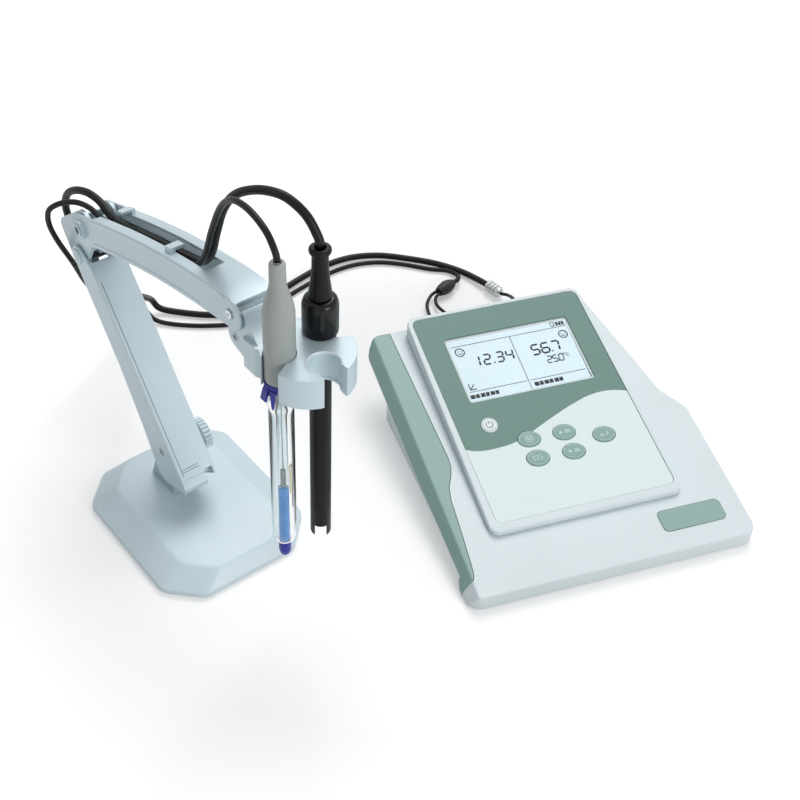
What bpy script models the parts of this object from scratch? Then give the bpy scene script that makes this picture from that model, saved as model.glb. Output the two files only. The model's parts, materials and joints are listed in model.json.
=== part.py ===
"""Bench pH and conductivity meter with its electrode stand.

Run with: blender --background --python part.py

The script builds one object per real piece, in metres with +Z up. Sizes are
written in millimetres at the top, each one once, and turned into metres where
a mesh is made. Two frames are used for laying the object out:

* the bench frame: x along the meter's front edge, y towards its rear, z up,
  with its zero at the meter's front left foot;
* the stand frame: s across the arm, u forward (towards the electrodes), z up,
  with its zero in the middle of the stand's base.

Pieces that turn have their own zero on the axis they turn about.
"""

import math

import bmesh
import bpy
from mathutils import Matrix, Vector

MM = 0.001

# Where the finished object's own zero lies in the bench frame.
LAYOUT_X, LAYOUT_Y = -7.4, 115.5

# Clearances.
GAP = 0.3          # between two pieces that touch
RUN = 0.3          # round a pin that something turns on

# Meter case. The deck slopes up towards the rear; the panel is a little steeper.
DECK_FRONT_Z = 11.8
DECK_SLOPE = math.tan(math.radians(9.9))
PANEL_SLOPE = math.tan(math.radians(11.9))
PANEL_REF_Y, PANEL_REF_Z = 43.0, 23.3
CASE_FRONT_Y, CASE_REAR_Y = -2.0, 206.0
CASE_OUTLINE = (
    # x, y, corner radius, seen from above
    (-3.0, CASE_FRONT_Y, 9.0),
    (189.6, CASE_FRONT_Y, 8.0),
    (188.0, 98.0, 12.0),
    (176.3, 116.0, 12.0),
    (157.0, CASE_REAR_Y, 9.0),
    (-3.0, CASE_REAR_Y, 11.0),
)
FRONT_BOTTOM_Z = 0.6
FRONT_LIP = 16.0           # depth of the part of the front that reaches the table
SKIRT_Z, SKIRT_SLOPE = 5.6, 0.152
ROLL_INSET, ROLL_DROP = 5.6, 8.0
CASE_SKIN = 2.5
CASE_EDGE = 1.6
TUB_OUTLINE = (
    (2.0, 21.0, 4.0),
    (184.0, 21.0, 4.0),
    (183.0, 96.0, 10.0),
    (171.0, 116.0, 10.0),
    (158.5, 175.0, 6.0),
    (2.0, 175.0, 6.0),
)
TUB_BOTTOM_Z = 1.8
TUB_REAR_Y = 175.0
TUB_WALL = 2.5

# Coloured rail along the left edge: the inner edge of its top face.
RAIL_EDGE = (
    (3.2, 11.0), (4.8, 14.0), (5.6, 20.0), (8.0, 46.0), (9.6, 68.0), (11.6, 77.0), (15.6, 85.0),
    (18.0, 91.0), (18.8, 98.0), (17.2, 140.0), (14.8, 198.0), (14.4, 215.0),
)

# Raised frame, its printed panel, the display and the keys (x and y as seen from above).
FRAME_OUTLINE = ((24.4, 35.4, 6.0), (155.2, 35.4, 6.0), (152.2, 205.4, 7.0), (25.2, 205.4, 7.0))
FRAME_WALL = 3.0
FRAME_RIM = 0.5
FRAME_PLATE = 3.2
PANEL_OUTLINE = ((30.4, 41.6, 4.0), (152.2, 41.6, 4.0), (149.2, 202.4, 5.0), (28.9, 202.4, 5.0))
PANEL_THICK = 0.8
LCD_X, LCD_Y = (45.6, 134.4), (130.2, 182.6)
LCD_LIP = 1.6
LCD_CORNER = 2.0
LCD_BORDER, LCD_THICK = 3.0, 3.1
BOARD_X, BOARD_Y, BOARD_THICK = (38.0, 144.0), (48.0, 160.0), 1.6
POWER_KEY = ("key_power", 51.4, 111.0, 5.6, 5.6)
OVAL_KEYS = (
    ("key_hold", 72.7, 94.8, 7.8, 5.9),
    ("key_up", 97.0, 94.3, 7.8, 5.9),
    ("key_enter", 122.0, 86.6, 7.8, 5.9),
    ("key_mode", 73.0, 80.0, 7.8, 5.9),
    ("key_down", 97.7, 79.3, 7.8, 5.9),
)
KEY_PROUD = 0.6
KEY_FLANGE, KEY_FLANGE_THICK = 0.9, 1.4
PLATE_X, PLATE_Y = (132.2, 175.0), (12.2, 27.0)
PLATE_CORNER = 3.2

# Rear sockets: name, x, and the plug that sits in each.
SOCKET_Z = 17.5
BNC_X, TEMP_X, DIN_X, DC_X = 66.0, 84.0, 122.0, 144.0
REAR_PANEL_X, REAR_PANEL_Z = (44.0, 152.0), (7.5, 27.5)
FEET = ((15.0, 34.0), (168.0, 34.0), (16.0, 162.0), (146.0, 162.0))
FOOT_R = 5.5

# Stand: place in the bench frame and main pivots as (u, z).
STAND_X, STAND_Y, STAND_YAW = -141.0, 125.0, math.radians(19.4)
BASE_ACROSS, BASE_LONG = 106.0, 126.4
BASE_RIM_Z, BASE_TOP_Z = 4.6, 13.0
BASE_BEVEL_SIDE, BASE_BEVEL_END = 18.0, 8.0
PIVOT_LOW = (-16.9, 48.6)
ELBOW_LOW = (-98.8, 149.9)
ELBOW_HIGH = (-88.0, 177.0)
HEAD_HIGH = (74.3, 220.1)
LINK_DROP = 16.4           # the upper link runs this far under the upper arm's pivots
LINK_BACK = 9.0            # the lower link runs this far behind the lower arm's pivots
ARM_OUT, ARM_IN = 12.0, 10.0
INSIDE = 9.6               # half width of what sits between the arm's side plates
CHEEK = 7.4
PIN_R = 2.5
SMALL_PIN_R = 1.7
LINK_HALF = 2.6            # half thickness of a link, across the arm

# Electrode holder: bay centres as (s, u).
HEAD_Z = (193.5, 212.0)
HOLDER_MIDDLE = (9.7, 111.4)
HOLDER_R = 24.5
PH_AXIS = (-3.5, 105.5)
CELL_AXIS = (22.9, 103.3)
FREE_BAY = (9.6, 124.9)
BAY_FIT = 0.4              # between an electrode and the bay it is clipped in
BAY_MOUTH = 13.0
PH_MOUTH, CELL_MOUTH, FREE_MOUTH = (-0.9, 0.44), (0.9, 0.44), (0.0, 1.0)

# Electrodes: radii, and heights in the photographed pose.
PH_CAP_R, PH_TUBE_R, PH_STEM_R = 8.2, 7.6, 3.1
PH_WALL = 1.3
PH_TOP_Z, PH_CAP_FOOT_Z, PH_TIP_Z = 268.0, 188.0, 60.8
RING_R, RING_LONG = 8.5, 9.5
TIP_R, TIP_LONG = 5.2, 13.5
CELL_TUBE_R, CELL_COLLAR_R = 5.9, 9.5
COLLAR_LONG, BOOT_LONG, CELL_TIP_Z = 21.6, 29.8, 62.0
COLLAR_TOP_Z = HEAD_Z[1] + GAP + COLLAR_LONG
CELL_TOP_Z = COLLAR_TOP_Z + GAP + BOOT_LONG
FORK_WIDE, FORK_DEEP, FORK_TURN = 6.6, 9.0, -37.0
BAY_R = PH_CAP_R + BAY_FIT

# Leads.
PH_LEAD_R, CELL_LEAD_R, THIN_LEAD_R = 1.75, 2.4, 1.25

# Elbow spring.
SPRING_R, SPRING_WIRE_R, SPRING_TURNS, SPRING_PITCH = 3.95, 0.7, 7.0, 1.84


# Scene and helpers

for leftover in list(bpy.data.objects):
    bpy.data.objects.remove(leftover)

parts = bpy.data.collections.new("ph_meter")
bpy.context.scene.collection.children.link(parts)


def deck_z(y):
    return DECK_FRONT_Z + y * DECK_SLOPE


def skirt_z(y):
    return SKIRT_Z + y * SKIRT_SLOPE


def panel_z(y):
    return PANEL_REF_Z + (y - PANEL_REF_Y) * PANEL_SLOPE


def bench(x, y, z):
    """A bench point in the finished object's frame, in metres."""
    return Vector((x - LAYOUT_X, y - LAYOUT_Y, z)) * MM


def stand(s, u, z):
    """A stand point in the finished object's frame, in metres."""
    c, n = math.cos(STAND_YAW), math.sin(STAND_YAW)
    return bench(STAND_X + s * c + u * n, STAND_Y + s * n - u * c, z)


def flat(x, y, h):
    return (x, y, h)


def on_deck(x, y, h):
    return (x, y, deck_z(y) + h)


def on_panel(x, y, h):
    return (x, y, panel_z(y) + h)


def side_on(pivot):
    """Places a (u, z) outline at s, in the stand frame measured from a pivot."""
    def place(u, z, s):
        return (s, -(u - pivot[0]), z - pivot[1])
    return place


def rounded(corners, steps=5):
    """Corner points (x, y, radius) turned into an outline with round corners."""
    outline = []
    count = len(corners)
    for i, (x, y, radius) in enumerate(corners):
        here = Vector((x, y))
        before = (Vector(corners[i - 1][:2]) - here).normalized()
        after = (Vector(corners[(i + 1) % count][:2]) - here).normalized()
        half = before.angle(after) / 2
        if radius <= 0 or half > math.radians(89):
            outline.append((x, y))
            continue
        middle = here + (before + after).normalized() * (radius / math.sin(half))
        start = here + before * (radius / math.tan(half)) - middle
        turn = start.angle_signed(here + after * (radius / math.tan(half)) - middle)
        for k in range(steps + 1):
            a = -turn * k / steps
            spun = Vector((start.x * math.cos(a) - start.y * math.sin(a),
                           start.x * math.sin(a) + start.y * math.cos(a)))
            outline.append(tuple(middle + spun))
    return outline


def ellipse(x, y, rx, ry, steps=18):
    return [(x + rx * math.cos(math.tau * k / steps), y + ry * math.sin(math.tau * k / steps))
            for k in range(steps)]


def box_outline(xs, ys):
    return [(xs[0], ys[0]), (xs[1], ys[0]), (xs[1], ys[1]), (xs[0], ys[1])]


def inset(corners, by):
    """A four-cornered outline (x, y, radius) moved in by a distance on every side."""
    ways = ((1, 1), (-1, 1), (-1, -1), (1, -1))
    return [(x + by * i, y + by * j, max(r - by, 0.5)) for (x, y, r), (i, j) in zip(corners, ways)]


def loft(rings):
    """A closed mesh through rings of points (mm) that all have the same count."""
    bm = bmesh.new()
    rows = [[bm.verts.new(Vector(p) * MM) for p in ring] for ring in rings]
    count = len(rows[0])
    bm.faces.new(rows[0])
    bm.faces.new(rows[-1])
    for low, high in zip(rows, rows[1:]):
        for i in range(count):
            bm.faces.new((low[i], low[i - 1], high[i - 1], high[i]))
    bmesh.ops.recalc_face_normals(bm, faces=bm.faces)
    mesh = bpy.data.meshes.new("loft")
    bm.to_mesh(mesh)
    bm.free()
    return mesh


def prism(outline, low, high, place=flat):
    return loft([[place(x, y, low) for x, y in outline], [place(x, y, high) for x, y in outline]])


def turned(profile, steps=20):
    """A turned mesh about z from (radius, z) points, listed from the top down."""
    mesh = bpy.data.meshes.new("profile")
    points = [(0.0, profile[0][1]), *profile, (0.0, profile[-1][1])]
    edges = [(i, i + 1) for i in range(len(points) - 1)]
    mesh.from_pydata([(r * MM, 0, z * MM) for r, z in points], edges, [])
    return screwed(mesh, steps)


def ring_turned(profile, steps=20):
    """A turned ring about z from a closed (radius, z) outline."""
    mesh = bpy.data.meshes.new("profile")
    count = len(profile)
    edges = [(i, (i + 1) % count) for i in range(count)]
    mesh.from_pydata([(r * MM, 0, z * MM) for r, z in profile], edges, [])
    return screwed(mesh, steps)


def screwed(mesh, steps):
    def add(obj):
        screw = obj.modifiers.new("turn", "SCREW")
        screw.axis = "Z"
        screw.angle = math.tau
        screw.steps = steps
        screw.render_steps = steps
        screw.use_merge_vertices = True
        screw.merge_threshold = 0.00001
        screw.use_normal_calculate = True
    return facing_out(baked(mesh, add))


def facing_out(mesh):
    bm = bmesh.new()
    bm.from_mesh(mesh)
    bmesh.ops.remove_doubles(bm, verts=bm.verts, dist=0.000001)
    bmesh.ops.recalc_face_normals(bm, faces=bm.faces)
    bm.to_mesh(mesh)
    bm.free()
    return mesh


def baked(mesh, add_modifiers):
    """The mesh after the modifiers that add_modifiers puts on it."""
    obj = bpy.data.objects.new("work", mesh)
    bpy.context.scene.collection.objects.link(obj)
    add_modifiers(obj)
    graph = bpy.context.evaluated_depsgraph_get()
    result = bpy.data.meshes.new_from_object(obj.evaluated_get(graph))
    bpy.data.objects.remove(obj)
    return result


def boolean(mesh, operation, *others):
    """Union, difference or intersection with each of the other meshes in turn."""
    tools = []
    for other in others:
        tool = bpy.data.objects.new("tool", other)
        bpy.context.scene.collection.objects.link(tool)
        tools.append(tool)

    def add(obj):
        for tool in tools:
            step = obj.modifiers.new("boolean", "BOOLEAN")
            step.operation = operation
            step.solver = "EXACT"
            step.object = tool
    result = baked(mesh, add)
    for tool in tools:
        bpy.data.objects.remove(tool)
    return facing_out(result)


def cut(mesh, *others):
    return boolean(mesh, "DIFFERENCE", *others)


def fuse(mesh, *others):
    return boolean(mesh, "UNION", *others)


def common(mesh, other):
    return boolean(mesh, "INTERSECT", other)


def soften(mesh, width, segments=2, angle=40.0):
    def add(obj):
        bevel = obj.modifiers.new("bevel", "BEVEL")
        bevel.width = width * MM
        bevel.segments = segments
        bevel.limit_method = "ANGLE"
        bevel.angle_limit = math.radians(angle)
    return baked(mesh, add)


def round_uprights(mesh, radius, segments):
    """Round the upright corners of a block, such as the ends of fingers."""
    bm = bmesh.new()
    bm.from_mesh(mesh)
    bmesh.ops.dissolve_limit(bm, angle_limit=math.radians(0.5), verts=bm.verts[:], edges=bm.edges[:])
    uprights = []
    for edge in bm.edges:
        rise = edge.verts[1].co - edge.verts[0].co
        if len(edge.link_faces) == 2 and abs(rise.z) > 0.99 * rise.length \
                and math.degrees(edge.calc_face_angle_signed()) > 30.0:
            uprights.append(edge)
    bmesh.ops.bevel(bm, geom=uprights, offset=radius * MM, segments=segments, profile=0.5, affect="EDGES",
                    clamp_overlap=True)
    bm.to_mesh(mesh)
    bm.free()
    return mesh


def moved(mesh, x=0.0, y=0.0, z=0.0, turn=None):
    """The mesh turned and then shifted by millimetres."""
    if turn is not None:
        mesh.transform(turn)
    mesh.transform(Matrix.Translation(Vector((x, y, z)) * MM))
    return mesh


def rod(pivot, point, radius, s_low, s_high, steps=16):
    """A round bar across the arm at a (u, z) point."""
    ring = ellipse(point[0], point[1], radius, radius, steps)
    return prism(ring, s_low, s_high, side_on(pivot))


def material(name, colour, roughness=0.5, metallic=0.0, alpha=1.0):
    made = bpy.data.materials.get(name)
    if made is None:
        made = bpy.data.materials.new(name)
        made.use_nodes = True
        shader = made.node_tree.nodes["Principled BSDF"]
        shader.inputs["Base Color"].default_value = (*colour, 1.0)
        shader.inputs["Roughness"].default_value = roughness
        shader.inputs["Metallic"].default_value = metallic
        shader.inputs["Alpha"].default_value = alpha
        made.diffuse_color = (*colour, alpha)
    return made


def node(name, mesh, finish, location=None, yaw=0.0):
    """One named piece of the object."""
    obj = bpy.data.objects.new(name, mesh)
    mesh.materials.clear()
    mesh.materials.append(finish)
    obj.location = bench(0, 0, 0) if location is None else location
    obj.rotation_euler = (0, 0, yaw)
    parts.objects.link(obj)
    return obj


def stand_node(name, mesh, finish, pivot=(0.0, 0.0)):
    return node(name, mesh, finish, stand(0, *pivot), STAND_YAW)


FINE = 24                  # points between two route points before a path is spaced out evenly


def smooth_curve(route):
    """Many points on a smooth curve through the route points (metres)."""
    ends = [route[0] * 2 - route[1], *route, route[-1] * 2 - route[-2]]
    fine = []
    for a, b, c, d in zip(ends, ends[1:], ends[2:], ends[3:]):
        for k in range(FINE):
            t = k / FINE
            fine.append(0.5 * (2 * b + (c - a) * t + (2 * a - 5 * b + 4 * c - d) * t * t
                               + (3 * b - a - 3 * c + d) * t ** 3))
    fine.append(route[-1].copy())
    return fine


def even_path(fine, spacing):
    """Points about one spacing (mm) apart along a fine curve."""
    length = sum((q - p).length for p, q in zip(fine, fine[1:]))
    count = max(2, round(length / (spacing * MM)))
    path = [fine[0]]
    walked, wanted = 0.0, length / count
    for p, q in zip(fine, fine[1:]):
        step = (q - p).length
        while len(path) < count and walked + step >= wanted * len(path):
            path.append(p.lerp(q, (wanted * len(path) - walked) / step))
        walked += step
    path.append(fine[-1])
    return path


def tube(name, path, radius, finish, resolution=2):
    """A round tube along a path of points in metres."""
    curve = bpy.data.curves.new(name, "CURVE")
    curve.dimensions = "3D"
    curve.bevel_depth = radius * MM
    curve.bevel_resolution = resolution
    curve.use_fill_caps = True
    spline = curve.splines.new("POLY")
    spline.points.add(len(path) - 1)
    for point, place in zip(spline.points, path):
        point.co = (*place, 1.0)
    curve.materials.append(finish)
    obj = bpy.data.objects.new(name, curve)
    parts.objects.link(obj)
    return obj


CASE_WHITE = material("case_white", (0.80, 0.85, 0.87), 0.45)
TUB_WHITE = material("tub_white", (0.76, 0.81, 0.83), 0.5)
SAGE = material("sage_green", (0.21, 0.33, 0.29), 0.45)
PANEL_PRINT = material("panel_print", (0.55, 0.66, 0.63), 0.4)
WINDOW_CLEAR = material("window_clear", (0.80, 0.90, 0.95), 0.1, 0.0, 0.35)
LCD_PALE = material("lcd_pale", (0.70, 0.86, 0.94), 0.3)
KEY_WHITE = material("key_white", (0.86, 0.89, 0.90), 0.45)
KEY_GREEN = material("key_green", (0.24, 0.36, 0.32), 0.45)
BOARD_GREEN = material("board_green", (0.04, 0.16, 0.08), 0.5)
RUBBER_DARK = material("rubber_dark", (0.03, 0.03, 0.03), 0.8)
PANEL_GREY = material("panel_grey", (0.30, 0.32, 0.33), 0.5)
BRIGHT_METAL = material("bright_metal", (0.70, 0.70, 0.68), 0.25, 1.0)
STAND_BLUE = material("stand_blue", (0.56, 0.68, 0.73), 0.45)
STAND_SHADE = material("stand_shade", (0.48, 0.58, 0.64), 0.5)
STEEL = material("steel", (0.60, 0.61, 0.62), 0.3, 1.0)
SPRING_BLACK = material("spring_black", (0.02, 0.02, 0.02), 0.4)
CAP_GREY = material("cap_grey", (0.42, 0.45, 0.45), 0.45)
CLEAR = material("clear_tube", (0.85, 0.92, 0.96), 0.05, 0.0, 0.35)
STEM_BLUE = material("stem_blue", (0.10, 0.42, 0.80), 0.2)
ROYAL_BLUE = material("royal_blue", (0.02, 0.06, 0.42), 0.35)
PROBE_BLACK = material("probe_black", (0.025, 0.025, 0.027), 0.35)
LEAD_BLACK = material("lead_black", (0.02, 0.02, 0.02), 0.6)


# Meter case: one outer body is shaped first, then shared out between the white
# top case and the coloured rail.

TOOL_X, TOOL_Y, TOOL_TOP_Z = (-30.0, 230.0), (-8.0, 220.0), 90.0    # reach of the shaping tools
RAIL_REAR_Y = 215.0
CAVITY = ((23.5, 8.0, 6.0), (181.0, 8.0, 6.0), (180.0, 95.0, 8.0), (168.0, 116.0, 8.0), (156.0, 170.0, 6.0),
          (23.5, 170.0, 6.0))
WINDOW_REAR_Y = 166.0


def rail_outline(grow):
    edge = [(x + grow, y) for x, y in RAIL_EDGE]
    first = edge[0]
    return [(TOOL_X[0], first[1] - grow), (first[0], first[1] - grow), *edge[1:], (TOOL_X[0], RAIL_REAR_Y)]


wedge = prism(
    [(TOOL_Y[0], FRONT_BOTTOM_Z), (FRONT_LIP, FRONT_BOTTOM_Z), (FRONT_LIP + 4.0, skirt_z(FRONT_LIP + 4.0)),
     (TOOL_Y[1], skirt_z(TOOL_Y[1])), (TOOL_Y[1], deck_z(TOOL_Y[1])), (TOOL_Y[0], deck_z(TOOL_Y[0]))],
    *TOOL_X, lambda y, z, x: (x, y, z))
outer = common(prism(rounded(CASE_OUTLINE), -5.0, TOOL_TOP_Z), wedge)
roll = prism([(-3.0 + ROLL_INSET, 0.0), (-3.6, -ROLL_DROP - 0.9), (-20.0, -ROLL_DROP), (-20.0, 6.0),
              (-3.0 + ROLL_INSET, 6.0)],
             -20.0, 230.0, lambda x, h, y: (x, y, deck_z(y) + h))
outer = soften(cut(outer, roll), CASE_EDGE, 3, 24.0)

window = rounded([(FRAME_OUTLINE[0][0] + 5.0, FRAME_OUTLINE[0][1] + 5.0, 4.0),
                  (FRAME_OUTLINE[1][0] - 5.0, FRAME_OUTLINE[1][1] + 5.0, 4.0),
                  (FRAME_OUTLINE[1][0] - 6.5, WINDOW_REAR_Y, 4.0),
                  (FRAME_OUTLINE[0][0] + 5.6, WINDOW_REAR_Y, 4.0)])
cavity = rounded(CAVITY)
plate_box = [(*p, PLATE_CORNER) for p in box_outline(PLATE_X, PLATE_Y)]
plate_outline = rounded(plate_box)
plate_seat = rounded(inset(plate_box, -GAP))
top_case = cut(
    outer.copy(),
    prism(rail_outline(GAP), -20.0, TOOL_TOP_Z),
    loft([[flat(x, y, -10.0) for x, y in cavity], [on_deck(x, y, -CASE_SKIN) for x, y in cavity]]),
    prism(window, -8.0, 6.0, on_deck),
    prism(plate_seat, -0.8, 6.0, on_deck),
)
node("top_case", top_case, CASE_WHITE)
node("side_rail", common(outer.copy(), prism(rail_outline(0.0), -20.0, TOOL_TOP_Z)), SAGE)
node("name_plate", soften(prism(plate_outline, -0.5, 0.3, on_deck), 0.15, 1), SAGE)

tub_top = [(x, y, skirt_z(y) - GAP) for x, y in rounded(TUB_OUTLINE)]
tub_foot = [(x, y, TUB_BOTTOM_Z) for x, y in rounded(TUB_OUTLINE)]
inner = [(x, y, r - TUB_WALL) for x, y, r in (
    (TUB_OUTLINE[0][0] + TUB_WALL, TUB_OUTLINE[0][1] + TUB_WALL, 4.0),
    (TUB_OUTLINE[1][0] - TUB_WALL, TUB_OUTLINE[1][1] + TUB_WALL, 4.0),
    (TUB_OUTLINE[2][0] - TUB_WALL, TUB_OUTLINE[2][1], 10.0),
    (TUB_OUTLINE[3][0] - TUB_WALL, TUB_OUTLINE[3][1], 10.0),
    (TUB_OUTLINE[4][0] - TUB_WALL, TUB_OUTLINE[4][1] - TUB_WALL, 6.0),
    (TUB_OUTLINE[5][0] + TUB_WALL, TUB_OUTLINE[5][1] - TUB_WALL, 6.0))]
rear_opening = box_outline(REAR_PANEL_X, REAR_PANEL_Z)


def rear_on(x, z, y):
    return (x, y, z)


bottom_case = cut(
    soften(loft([tub_foot, tub_top]), 1.0, 1, 50.0),
    prism(rounded(inner), TUB_BOTTOM_Z + TUB_WALL, TOOL_TOP_Z),
    prism(rear_opening, TUB_REAR_Y - 6.0, TUB_REAR_Y + 4.0, rear_on),
)
node("bottom_case", bottom_case, TUB_WHITE)

for number, (x, y) in enumerate(FEET, 1):
    foot = turned([(FOOT_R, TUB_BOTTOM_Z - GAP), (FOOT_R, 0.5), (FOOT_R - 0.5, 0.0)], 16)
    node(f"foot_{number}", foot, RUBBER_DARK, bench(x, y, 0))

# Raised frame with its printed panel, the display and the keys.

frame_ring = rounded(FRAME_OUTLINE)
frame = soften(loft([[on_deck(x, y, GAP) for x, y in frame_ring],
                     [on_panel(x, y, FRAME_RIM) for x, y in frame_ring]]), 1.1, 2, 50.0)
panel_seat = rounded(inset(PANEL_OUTLINE, -GAP))
lcd_box = [(*p, LCD_CORNER) for p in box_outline(LCD_X, LCD_Y)]
lcd_seat = rounded(inset(lcd_box, -GAP))
lcd_view = rounded(inset(lcd_box, LCD_LIP))
keys = (POWER_KEY, *OVAL_KEYS)


def key_holes():
    return [prism(ellipse(x, y, rx + GAP, ry + GAP), -8.0, 8.0, on_panel) for _, x, y, rx, ry in keys]


frame_inside = rounded(inset(FRAME_OUTLINE, FRAME_WALL))
frame = cut(
    frame,
    loft([[flat(x, y, -5.0) for x, y in frame_inside],
          [on_panel(x, y, -FRAME_PLATE) for x, y in frame_inside]]),
    prism(panel_seat, -PANEL_THICK - GAP, 6.0, on_panel),
    prism(lcd_view, -8.0, 6.0, on_panel),
    *key_holes(),
)
node("panel_frame", frame, CASE_WHITE)
overlay = cut(prism(rounded(PANEL_OUTLINE), -PANEL_THICK, 0.0, on_panel),
              prism(lcd_seat, -4.0, 4.0, on_panel), *key_holes())
node("panel_overlay", overlay, PANEL_PRINT)
node("lcd_window", prism(rounded(lcd_box), -PANEL_THICK, -0.1, on_panel), WINDOW_CLEAR)
lcd_glass = box_outline((LCD_X[0] - LCD_BORDER, LCD_X[1] + LCD_BORDER),
                        (LCD_Y[0] - LCD_BORDER, LCD_Y[1] + LCD_BORDER))
lcd_top = -FRAME_PLATE - GAP
lcd_foot = lcd_top - LCD_THICK
node("lcd_module", prism(lcd_glass, lcd_foot, lcd_top, on_panel), LCD_PALE)
board = box_outline(BOARD_X, BOARD_Y)
node("main_board", prism(board, lcd_foot - GAP - BOARD_THICK, lcd_foot - GAP, on_panel), BOARD_GREEN)

for name, x, y, rx, ry in keys:
    rings = []
    for grow, h in ((KEY_FLANGE, lcd_top - KEY_FLANGE_THICK), (KEY_FLANGE, lcd_top), (0.0, lcd_top),
                    (0.0, KEY_PROUD - 0.4), (-0.5, KEY_PROUD)):
        rings.append([(px - x, py - y, panel_z(py) - panel_z(y) + h)
                      for px, py in ellipse(x, y, rx + grow, ry + grow)])
    finish = KEY_WHITE if name == POWER_KEY[0] else KEY_GREEN
    node(name, loft(rings), finish, bench(x, y, panel_z(y)))

# Rear panel with its sockets, and the plugs that sit in them.

TO_REAR = Matrix.Rotation(math.radians(-90), 4, "X")    # a turned piece's top points to the rear
rear_plate = box_outline((REAR_PANEL_X[0] + GAP, REAR_PANEL_X[1] - GAP),
                         (REAR_PANEL_Z[0] + GAP, REAR_PANEL_Z[1] - GAP))
BNC_NECK, TEMP_NECK, DIN_NECK = 4.6, 3.6, 6.4
BNC_BARREL, TEMP_BARREL, DIN_FACE = 4.4, 3.2, 4.0
socket_holes = [prism(ellipse(x, SOCKET_Z, r + GAP, r + GAP), TUB_REAR_Y - 8.0, TUB_REAR_Y + 4.0, rear_on)
                for x, r in ((BNC_X, BNC_NECK), (TEMP_X, TEMP_NECK), (DIN_X, DIN_NECK))]
DC_WIDE, DC_HIGH, DC_FLANGE = 4.5, 5.0, 1.5


def around_dc(grow):
    """The power inlet's body seen from behind, grown on every side."""
    return box_outline((DC_X - DC_WIDE - grow, DC_X + DC_WIDE + grow),
                       (SOCKET_Z - DC_HIGH - grow, SOCKET_Z + DC_HIGH + grow))


dc_hole = prism(around_dc(GAP), TUB_REAR_Y - 8.0, TUB_REAR_Y + 4.0, rear_on)
rear_panel = cut(prism(rear_plate, TUB_REAR_Y - 2.4, TUB_REAR_Y, rear_on), *socket_holes, dc_hole)
node("rear_panel", rear_panel, PANEL_GREY)


def socket(name, x, profile, finish):
    """A turned socket in the rear panel; its profile's z runs rearwards from the panel's face."""
    node(name, moved(turned(profile, 16), turn=TO_REAR.copy()), finish, bench(x, TUB_REAR_Y, SOCKET_Z))


socket("bnc_socket", BNC_X, [(BNC_BARREL - 0.8, 11.0), (BNC_BARREL, 10.2), (BNC_BARREL, 1.6), (6.8, 1.6),
                             (6.8, GAP), (BNC_NECK, GAP), (BNC_NECK, -6.0)], BRIGHT_METAL)
socket("temp_socket", TEMP_X, [(TEMP_BARREL, 6.0), (TEMP_BARREL, 1.4), (5.0, 1.4), (5.0, GAP),
                               (TEMP_NECK, GAP), (TEMP_NECK, -6.0)], BRIGHT_METAL)
socket("cell_socket", DIN_X, [(6.0, DIN_FACE), (7.6, DIN_FACE), (8.4, DIN_FACE - 0.8), (8.4, GAP),
                              (DIN_NECK, GAP), (DIN_NECK, -6.0)], PANEL_GREY)
dc_inlet = cut(
    fuse(prism(around_dc(0.0), TUB_REAR_Y - 9.0, TUB_REAR_Y + 1.0, rear_on),
         prism(around_dc(DC_FLANGE), TUB_REAR_Y + GAP, TUB_REAR_Y + 1.5, rear_on)),
    cut(prism(ellipse(DC_X, SOCKET_Z, 3.1, 3.1), TUB_REAR_Y - 6.0, TUB_REAR_Y + 5.0, rear_on),
        prism(ellipse(DC_X, SOCKET_Z, 1.0, 1.0, 12), TUB_REAR_Y - 8.0, TUB_REAR_Y + 0.6, rear_on)))
node("dc_inlet", dc_inlet, PROBE_BLACK)


def plug(name, x, profile, finish):
    node(name, moved(ring_turned(profile, 16), turn=TO_REAR.copy()), finish, bench(x, TUB_REAR_Y, SOCKET_Z))


LEAD_HOLE = THIN_LEAD_R + GAP
plug("bnc_plug", BNC_X, [(BNC_BARREL + GAP, 2.2), (7.0, 2.2), (7.0, 13.5), (5.2, 15.0), (4.4, 17.0),
                         (2.6, 28.0), (LEAD_HOLE, 28.0), (LEAD_HOLE, 12.0), (BNC_BARREL + GAP, 12.0)],
     BRIGHT_METAL)
plug("temp_plug", TEMP_X, [(TEMP_BARREL + GAP, 2.0), (4.6, 2.0), (4.6, 12.0), (4.0, 14.0), (2.4, 26.0),
                           (LEAD_HOLE, 26.0), (LEAD_HOLE, 7.0), (TEMP_BARREL + GAP, 7.0)], PROBE_BLACK)
plug("cell_plug", DIN_X, [(7.0, DIN_FACE + GAP), (7.0, 15.0), (5.6, 18.0), (2.8, 30.0),
                          (LEAD_HOLE, 30.0), (LEAD_HOLE, DIN_FACE + GAP)], PROBE_BLACK)


# Stand base and post

BASE_CLIPS = (19.5, 21.5, 14.5, 20.5)    # corners cut off: near front, far front, far rear, near rear
BASE_CORNER_R = 11.0


def base_ring(side_in, end_in, z):
    """One level of the base: a rectangle with its corners clipped and the clips rounded."""
    a, b = BASE_ACROSS / 2 - side_in, BASE_LONG / 2 - end_in
    p, q, r, t = (clip - 0.4 * min(side_in, end_in) for clip in BASE_CLIPS)
    clipped = ((-a, p - b), (p - a, -b), (a - q, -b), (a, q - b),
               (a, b - r), (a - r, b), (t - a, b), (-a, b - t))
    return [(s, y, z) for s, y in rounded([(*corner, BASE_CORNER_R) for corner in clipped], 3)]


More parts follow.
